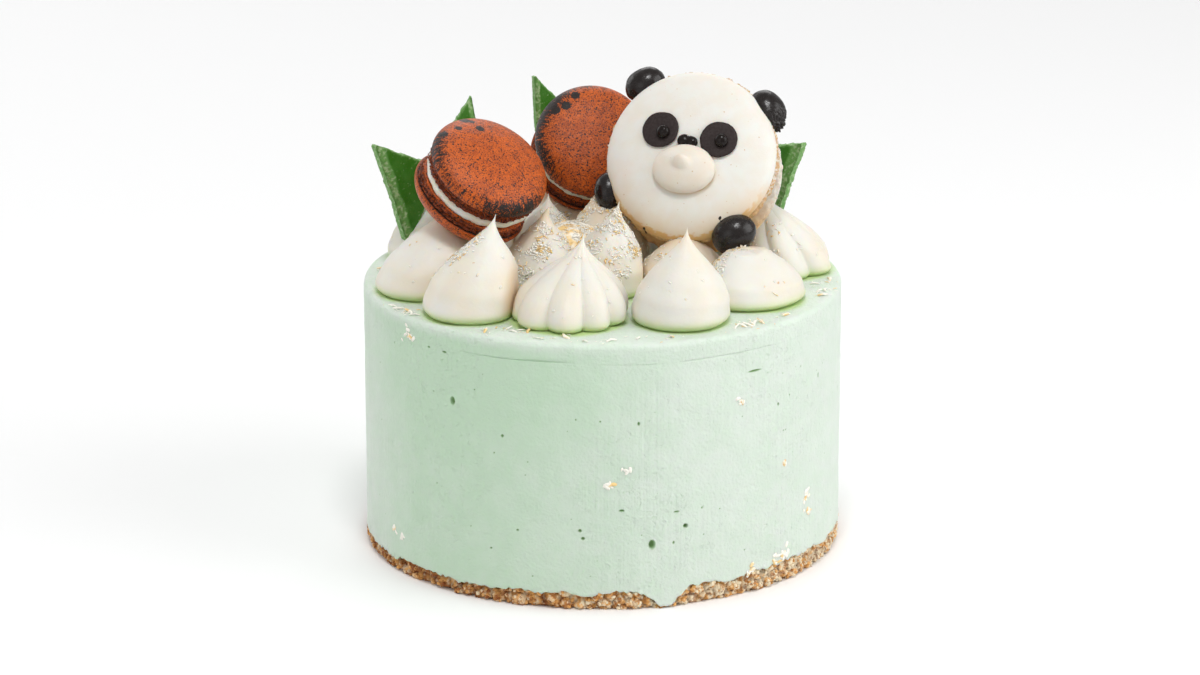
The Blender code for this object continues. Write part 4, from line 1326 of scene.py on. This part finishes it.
def flake_shape(name, seed, long=1.0, wide=1.0, cuts=(-0.5, 0.0, 0.5), corners=(0.6, 2.2, 3.9, 5.4)):
    """A small bent sliver of coconut, lying along X and centred on the origin."""
    draw = random.Random(seed)
    half = FLAKE_LENGTH / 2 * long * draw.uniform(0.8, 1.25)
    width = FLAKE_WIDTH * wide * draw.uniform(0.8, 1.25)
    bow = draw.uniform(0.1, 0.45) * MM * long
    rows = []
    for along in cuts:
        share = 1 - 1.1 * along * along + draw.uniform(-0.12, 0.12)
        middle = np.array((0, bow * draw.uniform(-1.5, 1.5), bow * (1 - 4 * along * along)))
        ring = []
        for angle in corners:
            side = np.array((0, math.cos(angle) * width * share, math.sin(angle) * width * 0.55 * share))
            ring.append(middle + side + np.array((along * 1.7 * half, 0, 0)))
        rows.append(ring)
    points, faces = skin(rows)
    points[-2, 0] = -half
    points[-1, 0] = half
    return bpy.data.objects.new(name, mesh_of(name, points, faces))


# Where loose coconut lies: x, y and radius in millimetres, and how thickly
COCONUT_SPOTS = (
    (-8.0, -4.0, 15.0, 1.0), (2.0, -20.0, 11.0, 0.8), (-8.0, -28.0, 8.0, 0.9), (8.0, -33.0, 9.0, 0.9),
    (-20.0, -23.0, 10.0, 0.9), (-25.0, -32.0, 5.0, 0.8), (-45.5, -33.0, 6.0, 1.0), (-42.0, -38.0, 6.0, 4.0),
    (13.0, -12.0, 10.0, 0.5), (9.0, -20.0, 7.0, 1.0), (32.0, -33.0, 5.0, 0.8), (37.0, -24.0, 6.0, 0.6),
    (-3.0, 16.0, 12.0, 0.5), (14.0, 40.0, 12.0, 0.25), (-30.0, 28.0, 12.0, 0.2), (50.0, -5.0, 9.0, 0.2),
)


def coconut_cover(points, normals):
    """How thickly coconut lies at each point: thickest in the valley between the drops."""
    cover = np.full(len(points), 0.004)
    patchy = np.clip(0.4 + 2.0 * rough(points, 240.0), 0.05, 1.3)
    for x, y, radius, thick in COCONUT_SPOTS:
        away = np.hypot(points[:, 0] / MM - x, points[:, 1] / MM - y) / radius
        cover = np.maximum(cover, thick * patchy * unit(1.25 - away))
    level = unit((points[:, 2] - CAKE_TOP) / (6 * MM))
    return cover * level * unit(normals[:, 2] * 1.6)


def drift_rows():
    """The heap of coconut between the inner drops."""
    _, ways = circle(DRIFT_SIDES)
    middle = np.array((*DRIFT_AT, 0)) * MM
    rows = []
    for turn in np.linspace(0.06, 0.97, 26):
        share = math.sin(math.pi * turn) ** 0.6
        height = 0.30 + 0.70 * (1 - math.cos(math.pi * turn)) / 2
        spots = ways * DRIFT_RADIUS * share
        lump_up = 1.2 * MM * rough(spots, 350.0) + 0.5 * MM * rough(spots, 900.0)
        lump_up = lump_up * min(1.0, 2 * (1 - abs(2 * turn - 1)))
        rows.append(raised(middle + spots, CAKE_TOP + height * DRIFT_HEIGHT + lump_up))
    return rows


def covered(mesh):
    """Writes on a mesh how thickly coconut lies on it."""
    spots = points_of(mesh)
    normals = np.empty(len(spots) * 3)
    mesh.vertices.foreach_get("normal", normals)
    written(mesh, "cover", coconut_cover(spots, normals.reshape(-1, 3)))


def joined_surface(meshes):
    """One mesh of the given ones, with the cover of coconut on it."""
    points, faces, covers = [], [], []
    start = 0
    for mesh in meshes:
        spots = points_of(mesh)
        points.append(spots)
        faces += [[start + v for v in polygon.vertices] for polygon in mesh.polygons]
        cover = np.empty(len(spots))
        mesh.attributes["cover"].data.foreach_get("value", cover)
        covers.append(cover)
        start += len(spots)
    return mesh_of("coconut ground", np.vstack(points), faces, None, {"cover": np.concatenate(covers)})


# Flakes on the front border of the cake's top: x and y in millimetres
RIM_SPOTS = (
    (-64.2, -34.2), (-62.3, -36.9), (-59.6, -40.5), (-57.2, -43.6), (-58.6, -41.4), (-28.8, -58.5),
    (-27.2, -60.7), (-24.4, -59.8), (-22.2, -61.5), (40.2, -57.0), (42.3, -55.2), (44.0, -54.3),
    (46.2, -52.6), (48.0, -50.8), (45.0, -52.4), (66.7, -18.5), (69.0, -16.8), (68.0, -22.3),
    (-11.1, -66.4),
)


def pinned_spots():
    """Where the flakes on the border of the cake's top lie, and how they are turned."""
    draw = random.Random(FLAKE_SEED)
    places, turns = [], []
    for x, y in RIM_SPOTS:
        places.append(Vector((x * MM, y * MM, CAKE_TOP)))
        turns.append((draw.uniform(-0.4, 0.4), draw.uniform(-0.6, 0.1), draw.uniform(0, math.pi)))
    seen = len(places)
    while len(places) < RIM_FLAKES + seen:
        angle = draw.uniform(0, math.tau)
        radius = draw.uniform(0.84, 0.95) * CAKE_RADIUS
        spot = Vector((radius * math.cos(angle), radius * math.sin(angle), CAKE_TOP))
        clear = all(
            (spot.xy - Vector((k.x, k.y)) * MM).length > k.radius * MM + 0.75 * FLAKE_LENGTH for k in KISSES
        )
        apart = all((spot - other).length > 1.6 * FLAKE_LENGTH for other in places)
        if not (clear and apart):
            continue
        places.append(spot)
        turns.append((draw.uniform(-0.3, 0.3), draw.uniform(-0.15, 0.15), draw.uniform(0, math.pi)))
    return places, turns


class CAKE_OT_coconut(bpy.types.Operator):
    """Coconut: the heap in the valley, the flakes strewn on the cream, on the rim and on the drum's side"""

    bl_idname = "cake.coconut"
    bl_label = "Coconut"

    def execute(self, context):
        look = context.scene.cake_coconut
        finish = coconut_finish(look)
        points, faces = skin(drift_rows())
        core = mesh_of("drift_core", points, faces, finish, {"tint": np.full(len(points), HEAP_TINT)})
        covered(core)
        ground = joined_surface([bpy.data.objects[kiss.name + "_piped"].data for kiss in KISSES] + [core])
        plain = {"cuts": (-0.3, 0.3), "corners": (0.6, 2.7, 4.8)}
        lengths = enumerate(0.09 + 0.03 * i for i in range(SHAPE_KINDS - 1))
        shapes = [flake_shape(f"fine flake {i}", i, long, 0.42, **plain) for i, long in lengths]
        shapes.append(flake_shape("long flake", 10, 0.42, 0.34, **plain))
        sizes = {"Density": look.density, "Smallest": 0.8, "Largest": 1.6, "Tumble": 0.2}
        strewn = grown("coconut_strewn", ground, "strew", shapes, **sizes, Seed=7, Finish=finish)
        shown("drift_core", core, "coconut", "coconut_drift")
        shown("coconut_strewn", strewn, "coconut")
        self.pin(finish)
        return {"FINISHED"}

    def pin(self, finish):
        places, turns = pinned_spots()
        self.pinned("coconut_rim", places, turns, 0.6, 1.05, finish)
        draw = random.Random(FLAKE_SEED + 1)
        extra, lying = [], []
        for place in places:
            for _ in range(4):
                extra.append(place + Vector((draw.gauss(0, 2.2), draw.gauss(0, 2.2), 0)) * MM)
                lying.append((0.0, 0.0, draw.uniform(0, math.pi)))
        self.pinned("coconut_rim_crumbs", extra, lying, 0.12, 0.34, finish)
        stuck, upright = [], []
        for angle, height, size in FLECKS:
            for _ in range(3 + round(7 * size)):
                turn = math.radians(angle + draw.gauss(0, 0.9 * size))
                across, back = math.cos(turn) * FLECK_RADIUS, math.sin(turn) * FLECK_RADIUS
                stuck.append(Vector((across, back, height + draw.gauss(0, size))) * MM)
                upright.append((math.pi / 2, draw.uniform(0, math.pi), turn + math.pi / 2))
        self.pinned("coconut_flecks", stuck, upright, 0.4, 1.0, finish, 0.5, 1.3)

    def pinned(self, name, places, turns, smallest, largest, finish, long=1.0, wide=1.0):
        spots = mesh_of(name, np.array(places), [], None, {"turn": np.array(turns)})
        shapes = [flake_shape(f"{name} {i}", 20 + i, long, wide) for i in range(SHAPE_KINDS)]
        sizes = {"Smallest": smallest, "Largest": largest}
        made = grown(name, spots, "pin", shapes, **sizes, Tumble=0.2, Seed=13, Finish=finish)
        pressed_in(made.data)
        shown(name, made, "coconut")


# Macarons

SHELL_SIDES = 256
FOOT_SHARE = 0.925
PANDA_FOOT_SHARE = 0.98
BRUSH_ROUND = 22.0
BRUSH_OUT = 0.35
BULGE = 0.05
BULGE_ANGLE = math.radians(112.0)
BULGE_SPREAD = math.radians(50.0)


def dome_height(macaron, share):
    """The height of a shell's dome over its widest ring, at that share of its radius."""
    return macaron.dome * MM * np.sqrt(np.maximum(0.0, 1 - np.minimum(1.0, share) ** DOME_POWER))


def shell_rows(macaron, front, radius, foot, look, seed):
    """A shell's rows, from its flat underside over the frilled foot and the lip to the top of the dome.

    Also says how much of each point belongs to the foot; values above 1 mark where the lip tucks under the
    dome, for a painted shadow line.
    """
    angles, ways = circle(SHELL_SIDES)
    if macaron is PANDA and front:
        bulge = BULGE * np.exp(-(((angles - BULGE_ANGLE) / BULGE_SPREAD) ** 2))
        ways = ways * (1 + bulge)[:, None]
    proud = PANDA_FOOT_SHARE if macaron is PANDA else FOOT_SHARE
    rows, frill = [], []
    outline = [(0.5, -1.0), (0.85, -1.0), (0.92, -1.0)]
    for turn in np.linspace(0, 1, 17):
        outline.append((proud + 0.035 * abs(math.sin(math.tau * turn)) ** 0.5, -0.97 + 0.82 * turn))
    for share, depth in outline:
        spots = ways * share * radius + np.array((0, 0, depth * foot))
        cracked = np.abs(rough(spots / MM, 0.8, seed)) + 0.6 * np.abs(rough(spots / MM, 1.9, seed + 2))
        folds = rough(ways * 13 + np.array((0, 0, 0.8 * depth)), 1.0, seed + 7)
        held = 1.0 if share > 0.93 else 0.0
        relief = look.ruffle * held * (0.9 * folds + 0.45 - 1.9 * cracked)
        rows.append(spots + ways * relief[:, None])
        frill.append(np.full(SHELL_SIDES, held))
    # Values above 1 mark where the lip tucks under the dome: the cocoa finish paints them black as a painted
    # shadow line.
    lip = ((proud - 0.015, -0.145, 2.0), (0.95, -0.125, 1.8), (0.985, -0.10, 0.3), (1.0, -0.04, 0.0))
    for share, depth, held in lip:
        rows.append(ways * share * radius + np.array((0, 0, depth * foot)))
        frill.append(np.full(SHELL_SIDES, held))
    shares = np.concatenate([1 - np.linspace(0.0, 0.3, 18) ** 2 * 1.2, np.linspace(0.87, 0.03, 34)])
    for share in shares:
        spots = ways * share * radius
        wander = 0.10 * MM * rough(spots / MM + np.array((seed, 0, 0)), 0.16)
        rows.append(raised(spots, dome_height(macaron, share) + wander * (1 - share**4)))
        frill.append(np.zeros(SHELL_SIDES))
    return np.array(rows), np.array(frill)


def in_frame(points, place):
    turn = np.array(place)
    return points @ turn[:3, :3].T + turn[:3, 3]


class Soot(NamedTuple):
    """Where black lies on a shell: spots at (x, y, radius) in millimetres, and brushed arcs of its rim.

    An arc is its middle and half spread in degrees, the share of the radius where it starts and its strength.
    """

    spots: tuple = ()
    arcs: tuple = ()


SOOT = {
    "cocoa_left_front": Soot(
        (
            (-0.4, 16.6, 1.1),
            (-5.4, 13.8, 0.8),
            (0.9, 11.2, 1.0),
            (1.0, 15.2, 0.7),
            (-10.8, 14.0, 1.0),
            (-14.6, 12.2, 0.6),
        ),
        ((264, 50, 0.69, 0.42), (195, 55, 0.84, 0.27), (143, 34, 0.76, 0.4)),
    ),
    "cocoa_left_back": Soot((), ((190, 80, 0.6, 0.2),)),
    "cocoa_back_front": Soot(
        ((-8.4, 10.6, 1.1), (-11.6, 9.4, 1.0), (-5.0, 14.2, 1.0), (-12.6, 11.4, 1.3)),
        ((140, 42, 0.66, 0.5), (190, 40, 0.72, 0.42), (100, 30, 0.82, 0.3), (250, 60, 0.84, 0.18)),
    ),
    "cocoa_back_back": Soot((), ((240, 80, 0.6, 0.2),)),
    "panda_front": Soot(((12.8, -19.5, 0.45), (13.2, -20.6, 0.4), (18.0, 12.4, 0.3), (-11.6, -24.1, 0.4))),
}


def soot_layers(own, soot, radius):
    """The black mask of a shell, and the streaked coordinates that its brush marks follow."""
    x, y = own[:, 0], own[:, 1]
    away = np.hypot(x, y)
    turn = np.arctan2(y, x)
    mask = np.zeros(len(own))
    for at_x, at_y, size in soot.spots:
        near = np.hypot(x - at_x, y - at_y) / size
        mask = np.maximum(mask, unit(1.7 - near))
    for arc, spread, start, strength in soot.arcs:
        off = np.abs((np.degrees(turn) - arc + 180) % 360 - 180) / spread
        rim = unit((away / radius - start) / (0.93 - start))
        on_dome = own[:, 2] > -0.2
        mask = np.maximum(mask, strength * rim * on_dome * unit(1.4 - off))
    brushed = np.stack([turn * BRUSH_ROUND, away * BRUSH_OUT, 0 * away], -1)
    return mask, brushed


def browned_and_shaded(own, radius, front, number):
    """How brown the panda's shell is low down and at its ragged edge in front, with painted warm shade over
    the back shell's low side and a painted shadow line under the muzzle.
    """
    low = -own[:, 1] / radius - 0.2
    if not front:
        # Painted warm shade on the back shell's low side.
        return unit(low / 0.5)
    away = np.hypot(own[:, 0], own[:, 1]) / radius
    wander = 0.03 * rough(own, 0.5, number) + 0.02 * rough(own, 1.5, number)
    ragged = unit((away - 0.95 + wander) / 0.02)
    gold = unit(low / 0.45) * np.maximum(0.5 * unit((away - 0.66) / 0.34) ** 1.4, ragged)
    # Painted shadow: a warm line under the muzzle's lower edge.
    across, up = ((own[:, i] - MUZZLE_AT[i]) / MUZZLE_RADII[i] for i in range(2))
    ring = np.exp(-(((np.hypot(across, up) - 1.0) / 0.11) ** 2))
    return np.maximum(gold, 0.7 * unit(0.3 - up) * ring)


class CAKE_OT_macarons(bpy.types.Operator):
    """The cocoa macarons and the panda's two shells, each with its filling"""

    bl_idname = "cake.macarons"
    bl_label = "Macarons"

    def execute(self, context):
        look = context.scene.cake_macaron
        cocoa, panda, filling = cocoa_finish(look), panda_finish(look), filling_finish(look)
        for number, macaron in enumerate(MACARONS):
            finish, slot = (panda, "panda_shell") if macaron is PANDA else (cocoa, "cocoa_shell")
            front = (macaron.radius, macaron.frill, front_frame(macaron))
            back = (macaron.back_radius, macaron.foot, back_frame(macaron))
            self.shell(macaron, "front", *front, look, finish, slot, 2 * number)
            self.shell(macaron, "back", *back, look, finish, slot, 2 * number + 1)
            self.filling(macaron, filling, number)
        return {"FINISHED"}

    def shell(self, macaron, side, radius, foot, place, look, finish, slot, number):
        rows, frill = shell_rows(macaron, side == "front", radius * MM, foot * MM, look, 5.7 * number)
        points, faces = skin(rows)
        own = points / MM
        mask, brushed = soot_layers(own, SOOT.get(f"{macaron.name}_{side}", Soot()), radius)
        gold = np.zeros(len(own))
        if macaron is PANDA:
            gold = browned_and_shaded(own, radius, side == "front", number)
            frill = frill if side == "front" else 0.25 * frill
        own = own + np.array((0, 0, 40.0 * number))
        layers = {"own": own, "foot": layer(frill), "soot": mask, "brushed": brushed, "gold": gold}
        name = f"{macaron.name}_{side}_baked"
        mesh = mesh_of(name, in_frame(points, place), faces, finish, layers)
        shown(name, mesh, slot, f"{macaron.name}_{side}_shell")

    def filling(self, macaron, finish, number):
        radius = (FILLING_SHARE if macaron is PANDA else COCOA_FILLING_SHARE) * macaron.radius * MM
        angles, ways = circle(FINE_SIDES)
        top, bottom = -macaron.frill * MM + 0.1 * MM, -(macaron.foot + macaron.filling) * MM - 0.1 * MM
        opening = 0.16 * radius * math.tan(math.radians(macaron.splay))
        bottom = bottom - opening * (1 + np.cos(angles - math.radians(macaron.splay_angle)))
        rows = []
        for level in np.linspace(0, 1, 11):
            share = 0.95 + 0.06 * math.sin(math.pi * level) ** 0.6
            height = bottom + level * (top - bottom)
            spots = raised(ways * share * radius, height)
            swell = 0.45 * MM * rough(spots / MM, 0.35, number + 20.0) + 0.15 * MM * rough(spots / MM, 1.4)
            rows.append(spots + ways * swell[:, None])
        points, faces = skin(rows)
        name = f"{macaron.name}_cream"
        mesh = mesh_of(name, in_frame(points, front_frame(macaron)), faces, finish)
        shown(name, mesh, "filling", f"{macaron.name}_filling")


# The panda's face, ears and paws


def face_height(away):
    """The height of the panda's domed face at that distance from its middle, in metres."""
    return dome_height(PANDA, away / (PANDA.radius * MM))


def face_frame(across, up, hover=0.0):
    """A frame on the panda's domed face, in the face's own frame; across, up and hover are in millimetres."""
    reach = math.hypot(across, up) * MM
    step = 0.2 * MM
    slope = (face_height(reach + step) - face_height(max(reach - step, 0))) / (2 * step)
    away = Vector((across, up, 0)).normalized()
    out = Vector((-slope * away.x, -slope * away.y, 1)).normalized()
    spot = Vector((across * MM, up * MM, face_height(reach) + hover * MM))
    turn = UP.rotation_difference(out).to_matrix().to_4x4()
    return Matrix.Translation(spot) @ turn


def dropped(radius, height, stretch, lean, nub, wobble, seed, sides=96, torn=None):
    """The rows of a small piped drop, its size in millimetres.

    nub is the share of its height that its drawn tip takes, and torn where its side is crumbly, in degrees.
    """
    angles, ways = circle(sides)
    rows = []
    for level in np.concatenate([np.linspace(0, 0.7, 22, endpoint=False), np.linspace(0.7, 0.998, 26)]):
        body = float(drop_share(min(level / (1 - nub), 1.0)))
        tip = 0.62 * math.sqrt(1 - level) if nub else 0.0
        ring = ways + np.array((0, 0, 1.5 * level))
        width = (body**2.3 + tip**2.3) ** (1 / 2.3)
        width = width * (1 + wobble * rough(ring, 1.3, seed) + 0.4 * wobble * rough(ring, 4.0, seed))
        if torn is not None:
            held = unit(np.cos(angles - math.radians(torn))) ** 3
            width = width * (1 + held * (0.02 + 0.24 * rough(ring, 9.0, seed)))
        flat = ways * np.array((stretch, 1, 1)) * radius * MM * width[:, None]
        shift = np.array((*lean, 0)) * MM * level**2
        rows.append(flat + shift + np.array((0, 0, level * height * MM)))
    return rows


class CAKE_OT_panda(bpy.types.Operator):
    """The panda's muzzle, nose, eyes, ears and paws"""

    bl_idname = "cake.panda"
    bl_label = "Panda's face, ears and paws"

    def execute(self, context):
        look = context.scene.cake_panda
        shell = bpy.data.materials["panda shell finish"]
        glossy = black_finish(look, "black icing finish", 0.14, 0.1, 0.2)
        drop = black_finish(look)
        self.eyes(look, glossy)
        across, up = MUZZLE_RADII
        muzzle = dropped(up, MUZZLE_HEIGHT, across / up, MUZZLE_LEAN, 0.3, 0.035, 2.0, FINE_SIDES)
        self.put("muzzle", [(muzzle, face_frame(*MUZZLE_AT, 0.1))], shell, "panda_shell", 0.14)
        lobes = []
        for x, y, radius in NOSE_LOBES:
            rows = dropped(radius, NOSE_HEIGHT, 1.05, (0.2 * x, 0), 0.0, 0.08, x)
            lobes.append((rows, face_frame(NOSE_AT[0] + x, NOSE_AT[1] + y, 0.2)))
        self.put("nose", lobes, glossy, "black_icing")
        for limb in DROPS:
            torn = 10 if limb.name == "ear_right" else None
            size = (limb.radius, limb.height, limb.stretch)
            rows = dropped(*size, (0, 0), 0.0, 0.04, limb.across, FINE_SIDES, torn)
            place = front_frame(PANDA).inverted() @ drop_frame(limb)
            self.put(limb.name, [(rows, place)], drop, "black_drop")
        return {"FINISHED"}

    def put(self, name, parts, finish, slot, gold=0.0):
        """Makes one piece of parts, each its rows and its place on the face; gold is how brown it is."""
        points, faces = np.zeros((0, 3)), []
        for rows, place in parts:
            spots, skinned = skin(rows)
            faces += [[len(points) + v for v in face] for face in skinned]
            points = np.vstack([points, in_frame(spots, front_frame(PANDA) @ place)])
        piece = f"panda_{name}_set"
        layers = {"own": points / MM, "gold": np.full(len(points), gold)}
        shown(piece, mesh_of(piece, points, faces, finish, layers), slot, f"panda_{name}")

    def eyes(self, look, glossy):
        matt = patch_finish(look)
        _, ways = circle(PATCH_SIDES)
        for side, across, up in EYE_PATCHES:
            ragged = 1 + 0.035 * rough(ways, 1.6, across) + 0.015 * rough(ways, 6.0, across)
            rows = []
            low, high = 0.15, 0.3 + EYE_PATCH_THICKNESS
            edge = ((0.5, low), (0.93, low), (0.985, 0.45), (1.0, 0.65), (0.99, 0.85), (0.95, high))
            for share, lift in edge + tuple((s, high) for s in (0.85, 0.7, 0.5, 0.3, 0.1)):
                flat = ways * (share * EYE_PATCH_RADIUS * MM * ragged)[:, None]
                flat = flat + np.array((across, up, 0)) * MM
                heights = face_height(np.hypot(flat[:, 0], flat[:, 1])) + lift * MM
                rows.append(raised(flat, heights))
            self.put(f"eye_patch_{side}", [(rows, Matrix.Identity(4))], matt, "black_icing")
        for side, across, up, lean_x, lean_y in PUPILS:
            rows = dropped(PUPIL_RADIUS, PUPIL_HEIGHT, 1.0, (lean_x, lean_y), 0.0, 0.03, across)
            place = face_frame(across, up, EYE_PATCH_THICKNESS + 0.3)
            self.put(f"pupil_{side}", [(rows, place)], glossy, "black_icing")


# Green shards


def shard_rows(shard, look, seed):
    """The rows of a shard, from the middle of its back over its broken edge to the middle of its front.

    Also says how much of each point belongs to the broken edge.
    """
    corners = [Vector(c) * MM for c in (shard.tip, shard.side, shard.point)]
    tip, down = corners[0], (corners[2] - corners[0]).normalized()
    normal = (corners[1] - corners[0]).cross(corners[2] - corners[0]).normalized()
    if normal.y > 0:
        normal = -normal
        corners = [corners[0], corners[2], corners[1]]
    outline = []
    for i, corner in enumerate(corners):
        after = corners[(i + 1) % 3]
        steps = max(4, round((after - corner).length / (0.35 * MM)))
        blunt = 0.8 * MM / (after - corner).length
        outline += [corner.lerp(after, blunt + (1 - 2 * blunt) * s / steps) for s in range(steps + 1)]
    outline = np.array(outline)
    middle = outline.mean(0)
    inward = middle - outline
    inward = inward / np.linalg.norm(inward, axis=1)[:, None]
    torn = 0.5 + 0.6 * rough(outline / MM, 0.28, seed) + 0.35 * rough(outline / MM, 0.9, seed)
    torn = np.maximum(torn + 0.25 * rough(outline / MM, 2.2, seed), 0.0) * look.ragged
    depth = shard.thickness * MM
    back = np.array(normal) * -depth
    rows, edge = [], []

    def ring(share, along, extra, held):
        flat = middle + (outline + inward * (torn + extra)[:, None] - middle) * share
        relief = 0.12 * MM * rough(flat / MM + 9.0 * along, 0.35, seed)
        relief = relief + 0.05 * MM * rough(flat / MM, 1.5, seed)
        broken = np.full(len(outline), held)
        if along == 0.0:
            offset = flat - np.array(tip)
            away = np.linalg.norm(np.cross(offset, np.array(down)), axis=1)
            width = shard.slant * MM * (1 + 0.25 * rough(flat / MM, 0.3, seed + 9))
            strip = unit(1.15 - away / width)
            ridges = 0.16 * MM * np.sin(away / (0.55 * MM)) + 0.2 * MM * rough(flat / MM, 0.9, seed + 2)
            relief = relief - strip * 0.28 * depth + unit(4 * strip) * ridges
            broken = np.maximum(broken, unit(5 * strip))
        rows.append(flat + back * along + np.array(normal) * relief[:, None])
        edge.append(broken)

    zero = np.zeros(len(outline))
    for share in (0.15, 0.35, 0.55, 0.75, 0.9):
        ring(share, 1.0, zero, 0.0)
    for along in (1.0, 0.9, 0.7, 0.5, 0.3, 0.1, 0.0):
        chipped = 0.3 * MM * rough(outline / MM + 3.0 * along, 1.2, seed + 5)
        bevel = 0.25 * MM if along in (0.0, 1.0) else 0.0
        ring(1.0, along, np.maximum(chipped, -torn) + bevel, 1.0)
    for share in (0.985, 0.965, 0.94, 0.91, 0.88, 0.84, 0.8, 0.75, 0.7, 0.64, 0.58, 0.5, 0.4, 0.3, 0.15):
        ring(share, 0.0, zero + 0.2 * MM, 0.5 if share > 0.95 else 0.0)
    return np.array(rows), np.array(edge)


class CAKE_OT_shards(bpy.types.Operator):
    """The four shards of green chocolate"""

    bl_idname = "cake.shards"
    bl_label = "Green shards"

    def execute(self, context):
        look = context.scene.cake_shard
        finish = shard_finish(look)
        for number, shard in enumerate(SHARDS):
            rows, edge = shard_rows(shard, look, 3.3 * number)
            points, faces = skin(rows)
            name = shard.name + "_broken"
            mesh = mesh_of(name, points, faces, finish, {"edge": layer(edge)})
            shown(name, mesh, "green_chocolate", shard.name)
        return {"FINISHED"}


# Stage

CAMERA_TARGET = Vector((-0.83, 0.0, 64.0)) * MM
CAMERA_DISTANCE = 1510 * MM
CAMERA_ELEVATION = math.radians(17.0)
CAMERA_LENS = 144.0
FLOOR_HALF = 6.0

# The lights: name, place, what it is aimed at, width, and the setting whose power it has, times a share
LIGHTS = (
    ("top light", (0.02, -0.5, 1.2), (0, 0, 0.09), 0.26, "top", 1.0),
    ("side light", (1.0, -0.33, 0.7), (0, 0, 0.09), 0.9, "side", 1.0),
    ("left fill", (-1.1, 0.6, 0.55), (0, 0, 0.09), 0.7, "fill", 2.3),
    ("front fill", (-0.7, -1.0, 0.6), (0, 0, 0.09), 0.7, "fill", 1.0),
    ("back fill", (-0.8, 0.9, 0.8), (0, 0, 0.09), 0.7, "fill", 1.0),
    ("backdrop light", (0.0, 2.4, 1.6), (0, 1.5, 0), 1.6, "fill", 16.0),
)


class CAKE_OT_stage(bpy.types.Operator):
    """The plain pale floor, the soft light and the camera"""

    bl_idname = "cake.stage"
    bl_label = "Floor, light and camera"

    def execute(self, context):
        scene = context.scene
        look = scene.cake_stage
        made = Finish("floor finish", specular_ior_level=0.2)
        tone = made.mix(made.cloudy(0.98, 0.02, 3.0), (1.0, 1.0, 1.0), look.floor)
        corners = np.array([(-1, -1, 0), (1, -1, 0), (1, 1, 0), (-1, 1, 0)]) * FLOOR_HALF
        mesh = mesh_of("floor", corners, [[0, 1, 2, 3]], made.paint(tone, 0.8).material)
        linked("floor", mesh)
        world = scene.world = bpy.data.worlds.new("studio")
        world.use_nodes = True
        sky = world.node_tree.nodes["Background"]
        sky.inputs["Color"].default_value = (1.0, 1.0, 1.0, 1.0)
        sky.inputs["Strength"].default_value = look.sky
        for name, place, target, width, setting, share in LIGHTS:
            data = bpy.data.lights.new(name, "AREA")
            data.shape = "SQUARE"
            data.size = width
            data.energy = share * getattr(look, setting)
            self.aimed(name, data, Vector(place), Vector(target))
        lens = bpy.data.cameras.new("camera")
        lens.lens = CAMERA_LENS
        lens.clip_start = 0.05
        back = Vector((0, -math.cos(CAMERA_ELEVATION), math.sin(CAMERA_ELEVATION)))
        place = CAMERA_TARGET + back * CAMERA_DISTANCE
        scene.camera = self.aimed("camera", lens, place, CAMERA_TARGET)
        scene.view_settings.view_transform = "Standard"
        return {"FINISHED"}

    def aimed(self, name, data, place, target):
        """A light or camera at place, turned to face target."""
        made = linked(name, data)
        made.location = place
        made.rotation_euler = (target - place).to_track_quat("-Z", "Y").to_euler()
        return made


class CAKE_PT_maker(bpy.types.Panel):
    """The cake's pieces, in the order they are made, with their sizes and colours"""

    bl_idname = "CAKE_PT_maker"
    bl_label = "Pandan mousse cake"
    bl_space_type = "VIEW_3D"
    bl_region_type = "UI"
    bl_category = "Cake"

    def draw(self, context):
        for operator, settings, _ in STEPS:
            box = self.layout.box()
            box.operator(operator.bl_idname)
            look = getattr(context.scene, settings)
            for key in look.bl_rna.properties.keys():
                if key not in ("rna_type", "name"):
                    box.prop(look, key)


STEPS = (
    (CAKE_OT_base, "cake_crumb", CrumbSettings),
    (CAKE_OT_mousse, "cake_mousse", MousseSettings),
    (CAKE_OT_cream, "cake_cream", CreamSettings),
    (CAKE_OT_coconut, "cake_coconut", CoconutSettings),
    (CAKE_OT_macarons, "cake_macaron", MacaronSettings),
    (CAKE_OT_panda, "cake_panda", PandaSettings),
    (CAKE_OT_shards, "cake_shard", ShardSettings),
    (CAKE_OT_stage, "cake_stage", StageSettings),
)
CLASSES = (*(group for _, _, group in STEPS), *(operator for operator, _, _ in STEPS), CAKE_PT_maker)


def register():
    for made in CLASSES:
        bpy.utils.register_class(made)
    for _, name, group in STEPS:
        setattr(bpy.types.Scene, name, bpy.props.PointerProperty(type=group))


def unregister():
    for _, name, _ in STEPS:
        delattr(bpy.types.Scene, name)
    for made in reversed(CLASSES):
        bpy.utils.unregister_class(made)


def main():
    register()
    for operator, _, _ in STEPS:
        group, step = operator.bl_idname.split(".")
        getattr(getattr(bpy.ops, group), step)()


if __name__ == "__main__":
    main()
